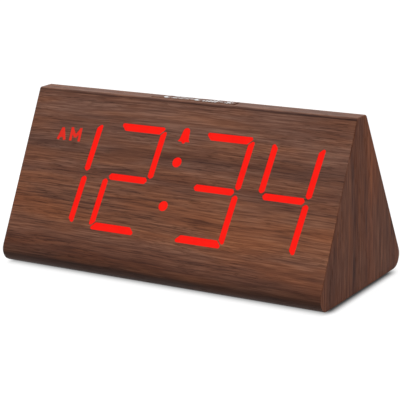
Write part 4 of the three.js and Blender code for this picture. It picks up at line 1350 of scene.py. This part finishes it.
@dataclass(frozen=True)
class SnoozeBar:
    """The long bar in the top, with small silver marks for night, sleep and light."""

    shape: CaseShape = SHAPE
    edge: float = 0.00018
    edge_steps: int = 3
    sharp: float = 30.0
    thin: Print = Print(0.0004)
    row_shift: float = -0.0005
    mark: float = 0.005  # a mark's height; the shares below are of half of it
    letters: tuple[Pair, ...] = ((-0.0117, 0.0066), (-0.0077, 0.0058), (-0.0042, 0.005))  # place and size
    moons: tuple[float, ...] = (-0.0164, 0.003)
    moon_sides: int = 32
    bite: Print = Print(0.0004, 0.001)  # what the moons are cut with, thicker than they are
    bite_size: float = 0.86
    bite_shift: Pair = (0.6, 0.2)
    sun: float = 0.0217
    sun_size: float = 0.45
    sun_sides: int = 24
    rays: int = 8
    ray: Pair = (0.42, 0.2)
    ray_reach: float = 0.86
    dashes: tuple[float, ...] = (-0.0011, 0.0168)
    dash: Pair = (0.0022, 0.0009)
    steps: int = 5
    first_rise: int = 2  # how many rises high the first step is
    first_step: float = 0.0069
    step: Pair = (0.0012, 0.0018)  # a step's width, and the way to the next

    def bar(self) -> Piece:
        """Finishes the bar with soft edges.

        Returns:
            The bar.
        """
        piece = Bench.from_node("snooze_button", "snooze_bar")
        Bench.soften(piece, self.edge, self.edge_steps, self.sharp)
        Bench.smooth(piece)
        return finished(piece, "snooze_bar", "snooze_plastic", ["snooze_button"])

    def moon(self, across: float) -> Piece:
        """Cuts a moon from two discs.

        Args:
            across: where its middle stands along the bar.

        Returns:
            The moon.
        """
        radius = self.mark / 2
        moon = self.thin.dot((across, 0), radius, self.moon_sides)
        right, up = (radius * share for share in self.bite_shift)
        bite = self.bite.dot((across + right, up), radius * self.bite_size, self.moon_sides)
        Bench.shape(moon, bite, Cut.AWAY)
        return moon

    def marks(self) -> Piece:
        """Prints the row of marks on the bar: moons, a sun, letters, dashes and rising steps.

        Returns:
            The row as one piece.
        """
        radius = self.mark / 2
        made = [self.moon(across) for across in self.moons]
        made.append(self.thin.dot((self.sun, 0), radius * self.sun_size, self.sun_sides))
        ray = (radius * self.ray[0], radius * self.ray[1])
        for index in range(self.rays):
            made.append(self.thin.bar((self.sun, 0), ray, 360 / self.rays * index, radius * self.ray_reach))
        made += [self.thin.text("Z", size, (across, 0)) for across, size in self.letters]
        made += [self.thin.bar((across, 0), self.dash) for across in self.dashes]
        width, pitch = self.step
        rises = self.steps - 1 + self.first_rise
        for index in range(self.steps):
            height = self.mark * (index + self.first_rise) / rises
            middle = (self.first_step + pitch * index, (height - self.mark) / 2)
            made.append(self.thin.bar(middle, (width, height)))
        row = Bench.merge("snooze_marks", made)
        Bench.put(row, self.shape.top @ Matrix.Translation((0, self.row_shift, 0)))
        return finished(row, "snooze_bar", "snooze_plastic", finish=Finishes.SILVER)

    def build(self) -> list[Piece]:
        """Builds the bar and its marks and returns them."""
        return [self.bar(), self.marks()]


@dataclass(frozen=True)
class Buttons:
    """Four round push buttons with dished tops, on flanges behind the panel."""

    shape: CaseShape = SHAPE
    names: tuple[str, ...] = ("set", "alarm", "up", "down")
    places: tuple[float, ...] = (-0.058, -0.043, -0.028, -0.013)  # across the panel
    height: float = 0.055  # up the slope
    radius: float = 0.0035
    top: float = 0.0006
    flange: float = 0.0047
    flange_levels: Pair = (-0.0035, -0.0025)
    stem: float = 0.002
    stem_foot: float = -0.0086
    edge: float = 0.0005
    dish: tuple[Pair, ...] = ((0.00098, 0.00021), (0.00084, 0.00014))  # each step's width and depth
    edge_round: float = 0.00045
    edge_steps: int = 4
    crisp: float = 40.0

    def button(self) -> Piece:
        """Models one button from its stem up.

        Returns:
            The button, at the middle of its face.
        """
        low, high = self.flange_levels
        piece = Bench.disc("button", self.stem, self.stem_foot, low)
        Bench.choose(piece, Kind.FACES, lambda spot: spot.up)
        Bench.extrude(0.0)
        share = self.flange / self.stem
        Bench.spread((share, share, 1), (0, 0, low))
        Bench.extrude(high - low)
        Bench.inset(self.flange - self.radius)
        Bench.extrude(self.top - high)
        Bench.inset(self.edge)
        for width, depth in self.dish:
            Bench.inset(width, -depth)
        Bench.round_rim(piece, self.radius, self.top, self.edge_round, self.edge_steps)
        Bench.smooth(piece, self.crisp)
        return piece

    def build(self) -> list[Piece]:
        """Copies the button to its four places.

        Returns:
            The buttons.
        """
        return copies(self.button(), "grey_plastic", (
            Stand(f"{name}_key", f"{name}_button", f"{name}_key", self.shape.on_rear(across, self.height))
            for name, across in zip(self.names, self.places)))


@dataclass(frozen=True)
class Sliders:
    """The two slide switches' knobs and the dimmer's, ribbed for the finger."""

    shape: CaseShape = SHAPE
    places: tuple[tuple[str, float, float], ...] = (  # across the panel and up the slope
        ("alarm", -0.02, 0.037), ("hour_format", -0.005, 0.037), ("dimmer", 0.0092, 0.055))
    knob: Pair = (0.0032, 0.003)
    top: float = 0.0004
    root: float = -0.004
    stem: float = 0.0016
    stem_foot: float = -0.0098
    ribs: int = 3
    rib_depth: float = 0.0003
    edge: float = 0.00012

    def slider(self) -> Piece:
        """Models one knob with its ribs and stem.

        Returns:
            The knob, at the middle of its face.
        """
        length, width = self.knob
        bands = 2 * self.ribs + 1
        pitch = length / bands
        piece = Bench.block(
            "slider", (length, width, self.top - self.root), (0, 0, (self.top + self.root) / 2))
        for index in range(1, bands):
            Bench.choose(piece, Kind.FACES)
            bpy.ops.mesh.bisect(plane_co=(pitch * index - length / 2, 0, 0), plane_no=(1, 0, 0))
        Bench.choose(piece, Kind.FACES, lambda spot: (
            spot.up and int((spot.place.x + length / 2) / pitch) % 2 == 1))
        Bench.extrude(0.0)
        bpy.ops.transform.translate(value=(0, 0, -self.rib_depth))
        Bench.choose(piece, Kind.FACES, lambda spot: spot.down and spot.place.z < self.root + HAIR)
        bpy.ops.mesh.dissolve_faces()
        Bench.extrude(0.0)
        Bench.spread((self.stem / length, self.stem / width, 1), (0, 0, self.root))
        Bench.extrude(self.stem_foot - self.root)
        Bench.soften(piece, self.edge)
        Bench.smooth(piece)
        return piece

    def build(self) -> list[Piece]:
        """Copies the knob to its three places.

        Returns:
            The knobs.
        """
        return copies(self.slider(), "grey_plastic", (
            Stand(f"{name}_knob", f"{name}_slider", f"{name}_slide", self.shape.on_rear(across, up))
            for name, across, up in self.places))


@dataclass(frozen=True)
class Screws:
    """The four cross-head screws that hold the rear panel."""

    shape: CaseShape = SHAPE
    count: int = 4
    reach: Pair = (0.0774, 0.0204)  # from the panel's middle, across and up
    centre: float = 0.046
    head: float = 0.0021
    head_sides: int = 40
    head_levels: Pair = (-0.0013, -0.0002)
    head_lip: float = 0.0001
    dome: float = 0.0006
    dome_steps: int = 5
    shank: float = 0.001
    shank_foot: float = -0.0053
    point: float = 0.001
    point_share: float = 0.2
    cross: Triple = (0.0026, 0.0006, 0.0007)
    turns: Pair = (17.0, 31.0)  # what the side and the row add to a cross's turn, in degrees
    crisp: float = 38.0

    def screw(self) -> Piece:
        """Models one screw: domed head, driven cross and pointed shank.

        Returns:
            The screw, at the middle of its face.
        """
        low, high = self.head_levels
        piece = Bench.disc("screw", self.head, low, high, sides=self.head_sides)
        Bench.choose(piece, Kind.FACES, lambda spot: spot.up)
        Bench.inset(self.head_lip)
        Bench.round_rim(piece, self.head, high, self.dome, self.dome_steps)
        Bench.choose(piece, Kind.FACES, lambda spot: spot.down)
        Bench.inset(self.head - self.shank)
        Bench.extrude(self.shank_foot + self.point - low)
        Bench.extrude(-self.point)
        Bench.spread((self.point_share, self.point_share, 1), (0, 0, self.shank_foot))
        for turn in (0, 90):
            blade = Bench.block("blade", self.cross, (0, 0, high))
            Bench.put(blade, Bench.turned(turn))
            Bench.shape(piece, blade, Cut.AWAY)
        Bench.smooth(piece, self.crisp)
        return piece

    def places(self) -> list[Pair]:
        """Gives the panel's four corners, across and up the slope."""
        return [(across * self.reach[0], self.centre + up * self.reach[1])
                for across in (-1, 1) for up in (-1, 1)]

    def build(self) -> list[Piece]:
        """Copies the screw to the panel's corners, each where its CAD node is.

        Returns:
            The screws.
        """
        middles = {index: sum(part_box(f"rear_panel_screw_{index}"), Vector()) / 2
                   for index in range(1, self.count + 1)}
        stands = []
        for across, up in self.places():
            corner = self.shape.on_rear(across, up)
            near = min(middles, key=lambda index: (middles[index] - corner.translation).length)
            turn = math.copysign(self.turns[0], across) + math.copysign(self.turns[1], up - self.centre)
            place = corner @ Bench.turned(turn)
            stands.append(Stand(f"panel_screw_{near}", f"rear_panel_screw_{near}", "case", place))
        return copies(self.screw(), "steel", stands)


@dataclass(frozen=True)
class BellSign:
    """The alarm's printed bell; its parts are shares of its height."""

    middle: Pair = (-0.043, 0.0627)
    height: float = 0.0034
    dome: float = 0.3
    dome_lift: float = 0.1
    dome_sides: int = 32
    foot_drop: float = 0.28
    flare: float = 1.2
    lip: Pair = (0.95, 0.12)
    lip_drop: float = 0.3
    clapper: float = 0.12
    clapper_drop: float = 0.46

    def at(self, lift: float) -> Pair:
        """Gives a place on the bell's middle line."""
        return self.middle[0], self.middle[1] + self.height * lift

    def build(self, thin: Print) -> list[Piece]:
        """Prints the bell from a flattened disc, its lip and its clapper.

        Args:
            thin: the print that it is made in.

        Returns:
            Its parts.
        """
        centre = self.at(self.dome_lift)
        dome = thin.dot(centre, self.height * self.dome, self.dome_sides)
        Bench.choose(dome, Kind.CORNERS, lambda spot: spot.place.y < centre[1] - HAIR)
        Bench.spread((self.flare, 0, 1), (*self.at(-self.foot_drop), 0))
        length, width = (self.height * share for share in self.lip)
        lip = thin.bar(self.at(-self.lip_drop), (length, width))
        return [dome, lip, thin.dot(self.at(-self.clapper_drop), self.height * self.clapper)]


@dataclass(frozen=True)
class RearPanel:
    """The panel in the back: clean round holes, soft edges and small printed signs."""

    shape: CaseShape = SHAPE
    buttons: Buttons = Buttons()
    screws: Screws = Screws()
    outer: float = -0.0002
    inner: float = -0.0022
    ease: float = 0.00002
    drill_top: float = 0.002
    drill_sides: int = 72
    button_hole: float = 0.00375
    jack_hole: Triple = (-0.058, 0.037, 0.0041)  # across, up and radius
    cap_hole: Triple = (0.06, 0.046, 0.01225)
    screw_seat: Pair = (0.0024, -0.0016)  # radius and floor
    edge: float = 0.00018
    edge_steps: int = 2
    crisp: float = 35.0
    # The signs: each mark's middle and then its size or radius, and each word's text and then its middle.
    clock_face: tuple[Pair, float, float] = ((-0.058, 0.0625), 0.0019, 0.0003)
    clock_hands: Bars = (((-0.058, 0.063), (0.0003, 0.0012)), ((-0.0576, 0.0625), (0.0009, 0.0003)))
    plus: Bars = (((-0.028, 0.0625), (0.0028, 0.0005)), ((-0.028, 0.0625), (0.0005, 0.0028)))
    minus: Bars = (((-0.013, 0.0625), (0.0028, 0.0005)),)
    bell: BellSign = BellSign()
    wedge: tuple[Pair, Pair] = ((0.0142, 0.0605), (0.012, 0.0016))
    wedge_point: float = 0.12
    words: tuple[tuple[str, float, float], ...] = (
        ("OFF", -0.0225, 0.0418), ("ON", -0.0150, 0.0418), ("12", -0.0071, 0.0418), ("24", -0.0003, 0.0418),
        ("DC", -0.058, 0.0302), ("5V", -0.040, 0.0315))
    word_height: float = 0.0024
    stops: tuple[Pair, ...] = ((90, 0.0006), (150, 0.00035))  # the angle round the cap, and the dot's radius
    stop_gap: float = 0.003

    @property
    def thin(self) -> Print:
        """The print on the panel's outer face."""
        return Print(self.outer)

    def holes(self) -> list[tuple[Pair, float, float]]:
        """Lists the round holes.

        Returns:
            For each hole its place, its radius and its floor.
        """
        through = self.inner - self.ease
        made = [((across, self.buttons.height), self.button_hole, through) for across in self.buttons.places]
        made += [(hole[:2], hole[2], through) for hole in (self.jack_hole, self.cap_hole)]
        made += [(place, *self.screw_seat) for place in self.screws.places()]
        return made

    def panel(self) -> Piece:
        """Finishes the panel.

        Returns:
            The panel.
        """
        piece = Bench.from_node("rear_panel", "rear_cover")
        for place, radius, floor in self.holes():
            drill = Bench.disc("drill", radius + self.ease, floor, self.drill_top, place, self.drill_sides)
            Bench.put(drill, self.shape.rear)
            Bench.shape(piece, drill, Cut.AWAY)
        Bench.choose(piece, Kind.EDGES, lambda spot: (
            spot.creased and abs(spot.place.z - self.outer) < NEAR), self.shape.rear)
        Bench.bevel(self.edge, self.edge_steps)
        Bench.smooth(piece, self.crisp)
        return finished(piece, "case", "black_plastic", ["rear_panel"])

    def wedge_sign(self) -> Piece:
        """Prints the wedge that says which way is brighter.

        Returns:
            The wedge.
        """
        (x, y), (length, width) = self.wedge
        wedge = self.thin.bar((x, y), (length, width))
        Bench.choose(wedge, Kind.CORNERS, lambda spot: spot.place.x < x)
        Bench.spread((1, self.wedge_point, 1), (x, y - width / 2, self.outer))
        Bench.take(wedge)
        return wedge

    def signs(self) -> Piece:
        """Prints the small signs beside the controls.

        Returns:
            All the print as one piece.
        """
        made = [self.thin.ring(*self.clock_face), *self.bell.build(self.thin), self.wedge_sign()]
        made += [self.thin.bar(*bar) for bar in (*self.clock_hands, *self.plus, *self.minus)]
        made += [self.thin.text(text, self.word_height, (across, up)) for text, across, up in self.words]
        across, up, radius = self.cap_hole
        for degrees, size in self.stops:
            way = Bench.turned(degrees).to_2x2() @ Vector((radius + self.stop_gap, 0))
            made.append(self.thin.dot((across + way.x, up + way.y), size))
        signs = Bench.merge("panel_signs", made)
        Bench.put(signs, self.shape.rear)
        return finished(signs, "case", "white_plastic", finish=Finishes.PRINT)

    def build(self) -> list[Piece]:
        """Builds the panel and its print and returns them."""
        return [self.panel(), self.signs()]


@dataclass(frozen=True)
class Sockets:
    """The power inlet and the charging outlet behind the panel's openings."""

    pieces: tuple[tuple[str, str, str], ...] = (
        ("dc_jack", "power_inlet", "chip_black"), ("usb_port", "charging_outlet", "steel"))
    edge: float = 0.00012
    crisp: float = 40.0

    def build(self) -> list[Piece]:
        """Breaks the sockets' edges.

        Returns:
            The sockets.
        """
        made = []
        for node, name, slot in self.pieces:
            piece = Bench.from_node(node, name)
            Bench.soften(piece, self.edge)
            Bench.smooth(piece, self.crisp)
            made.append(finished(piece, "case", slot, [node]))
        return made


@dataclass(frozen=True)
class BatteryCap:
    """The coin-turned cap over the backup cell, with its three lugs."""

    shape: CaseShape = SHAPE
    at: Pair = (0.06, 0.046)
    radius: float = 0.012
    sides: int = 96
    levels: Pair = (-0.0022, -0.0002)
    boss: float = 0.0093
    boss_foot: float = -0.0042
    edge: float = 0.0003
    edge_steps: int = 3
    rim: float = 0.0011
    sink: float = 0.0002
    lugs: int = 3
    lug: Triple = (0.0046, 0.005, 0.0012)
    lug_place: Triple = (0.0113, 0, -0.0031)
    lug_edge: float = 0.0006
    slot: Triple = (0.013, 0.0018, 0.002)
    slot_round: float = 0.00081
    slot_steps: int = 6
    arrow: float = 0.0011
    arrow_sides: int = 3
    arrow_levels: Pair = (-0.0012, -0.00032)
    arrow_place: Pair = (0.0005, 0.0066)
    crisp: float = 38.0

    def cap(self) -> Piece:
        """Models the cap.

        Returns:
            The cap, at the middle of its face.
        """
        low, high = self.levels
        piece = Bench.disc("battery_cover", self.radius, low, high, sides=self.sides)
        Bench.choose(piece, Kind.FACES, lambda spot: spot.down)
        Bench.inset(self.radius - self.boss)
        Bench.extrude(self.boss_foot - low)
        Bench.round_rim(piece, self.radius, high, self.edge, self.edge_steps)
        Bench.choose(piece, Kind.FACES, lambda spot: spot.up)
        Bench.inset(self.rim)
        Bench.inset(self.sink, -self.sink)
        for index in range(self.lugs):
            lug = Bench.block("lug", self.lug, self.lug_place)
            Bench.choose(lug, Kind.EDGES, lambda spot: spot.upright and spot.place.x > self.lug_place[0])
            Bench.bevel(self.lug_edge)
            Bench.put(lug, Bench.turned(360 / self.lugs * index))
            Bench.shape(piece, lug, Cut.TOGETHER)
        groove = Bench.block("groove", self.slot, (0, 0, high))
        Bench.choose(groove, Kind.EDGES, lambda spot: spot.upright)
        Bench.bevel(self.slot_round, self.slot_steps)
        Bench.shape(piece, groove, Cut.AWAY)
        for side in (-1, 1):
            place = (side * self.arrow_place[0], side * self.arrow_place[1])
            arrow = Bench.disc("arrow", self.arrow, *self.arrow_levels, place, self.arrow_sides)
            Bench.shape(piece, arrow, Cut.TOGETHER)
        Bench.smooth(piece, self.crisp)
        return piece

    def build(self) -> list[Piece]:
        """Puts the cap in its hole.

        Returns:
            The cap.
        """
        piece = self.cap()
        Bench.put(piece, self.shape.on_rear(*self.at))
        return [finished(piece, "cell_cap", "black_plastic", ["battery_cap"])]


@dataclass(frozen=True)
class Carried:
    """The CAD nodes whose own shape is right, which only need their finish."""

    small_lights: tuple[str, ...] = ("am_mark",)

    def build(self) -> list[Piece]:
        """Dresses every CAD node that is still shown.

        Returns:
            The nodes.
        """
        slots = {part["node"]: part["material_slot"] for part in frame["record"]["subparts"]}
        shown = {name: node for name, node in frame["nodes"].items() if not node.hide_render}
        for name, node in shown.items():
            finish = Finishes.LETTERS if name in self.small_lights else Finishes.BY_SLOT[slots[name]]
            finish.dress(node)
        return list(shown.values())


@dataclass(frozen=True)
class Lamp:
    """A square soft lamp: its name, its place, its size and its power."""

    name: str
    place: Triple
    size: float
    power: float


@dataclass(frozen=True)
class Studio:
    """A pale floor, plain soft light and the camera at the picture's angle."""

    azimuth: float = 31.5842
    elevation: float = 15.1072
    roll: float = -1.3533
    distance: float = 0.8794476
    target: Triple = (0.0018301, 0.0, 0.0380733)
    lens: float = 144.102
    sensor: float = 36.0
    clip: Pair = (0.01, 100.0)
    floor_size: float = 30.0
    ambient: float = 0.3
    aim: Triple = (0, 0, 0.04)  # what the lamps face
    lamps: tuple[Lamp, ...] = (
        Lamp("overhead", (-0.1, -0.2, 1.5), size=1.3, power=13.0),
        Lamp("front", (-0.7, -1.5, 0.75), size=1.0, power=3.5),
        Lamp("side", (1.5, -0.35, 0.7), size=0.9, power=4.5))

    def camera(self) -> None:
        """Sets up the camera and makes it the scene's."""
        turn, rise, roll = (math.radians(value) for value in (self.azimuth, self.elevation, self.roll))
        back = Vector((math.sin(turn) * math.cos(rise), -math.cos(turn) * math.cos(rise), math.sin(rise)))
        level = Vector((math.cos(turn), math.sin(turn), 0))
        upright = back.cross(level)
        right = level * math.cos(roll) + upright * math.sin(roll)
        up = upright * math.cos(roll) - level * math.sin(roll)
        data = bpy.data.cameras.new("camera")
        data.lens, data.sensor_width = self.lens, self.sensor
        data.clip_start, data.clip_end = self.clip
        camera = bpy.data.objects.new("camera", data)
        bpy.context.scene.collection.objects.link(camera)
        place = Vector(self.target) + back * self.distance
        camera.matrix_world = Matrix.Translation(place) @ Matrix((right, up, back)).transposed().to_4x4()
        bpy.context.scene.camera = camera

    def floor(self) -> None:
        """Lays the floor, which looks white to the camera, keeps the clock's cast shadow and has a painted
        shadow round its footprint.
        """
        Bench.take()
        bpy.ops.mesh.primitive_plane_add(size=self.floor_size)
        floor = Bench.named("floor")
        Finishes.FLOOR.dress(floor)

    def lights(self) -> None:
        """Hangs the lamps and lights the world, which looks white wherever it is seen or mirrored."""
        for lamp in self.lamps:
            data = bpy.data.lights.new(lamp.name, "AREA")
            data.shape, data.size, data.energy = "SQUARE", lamp.size, lamp.power
            hung = bpy.data.objects.new(lamp.name, data)
            bpy.context.scene.collection.objects.link(hung)
            hung.location = lamp.place
            hung.rotation_mode = "QUATERNION"
            hung.rotation_quaternion = (Vector(self.aim) - Vector(lamp.place)).to_track_quat("-Z", "Y")
        world = bpy.data.worlds.new("studio")
        bpy.context.scene.world = world
        world.use_nodes = True
        world.node_tree.nodes.clear()
        graph = Graph(world.node_tree)
        more = graph.calc("MULTIPLY", graph.seen(), 1.0 - self.ambient)
        sky = graph.node("ShaderNodeBackground", {
            "Color": (1, 1, 1, 1), "Strength": graph.calc("ADD", more, self.ambient)})
        graph.node("ShaderNodeOutputWorld", {"Surface": sky.outputs[0]})

    def build(self) -> list[Piece]:
        """Sets up the whole studio.

        Returns:
            An empty list, since none of it is a piece of the clock.
        """
        bpy.context.scene.view_settings.view_transform = "Standard"
        self.camera()
        self.floor()
        self.lights()
        return []


def main() -> None:
    """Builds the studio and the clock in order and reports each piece."""
    logging.basicConfig(level=logging.INFO, format="%(message)s")
    assemblies: tuple[Assembly, ...] = (
        Studio(), Cabinet(), Feet(), SnoozeBar(), RearPanel(), Buttons(), Sliders(), Sockets(), BatteryCap(),
        Screws(), Carried())
    for assembly in assemblies:
        for piece in assembly.build():
            LOG.info("%s: %s, %d faces", type(assembly).__name__, piece.name, len(piece.data.polygons))
    Bench.take()


if __name__ == "__main__":
    main()
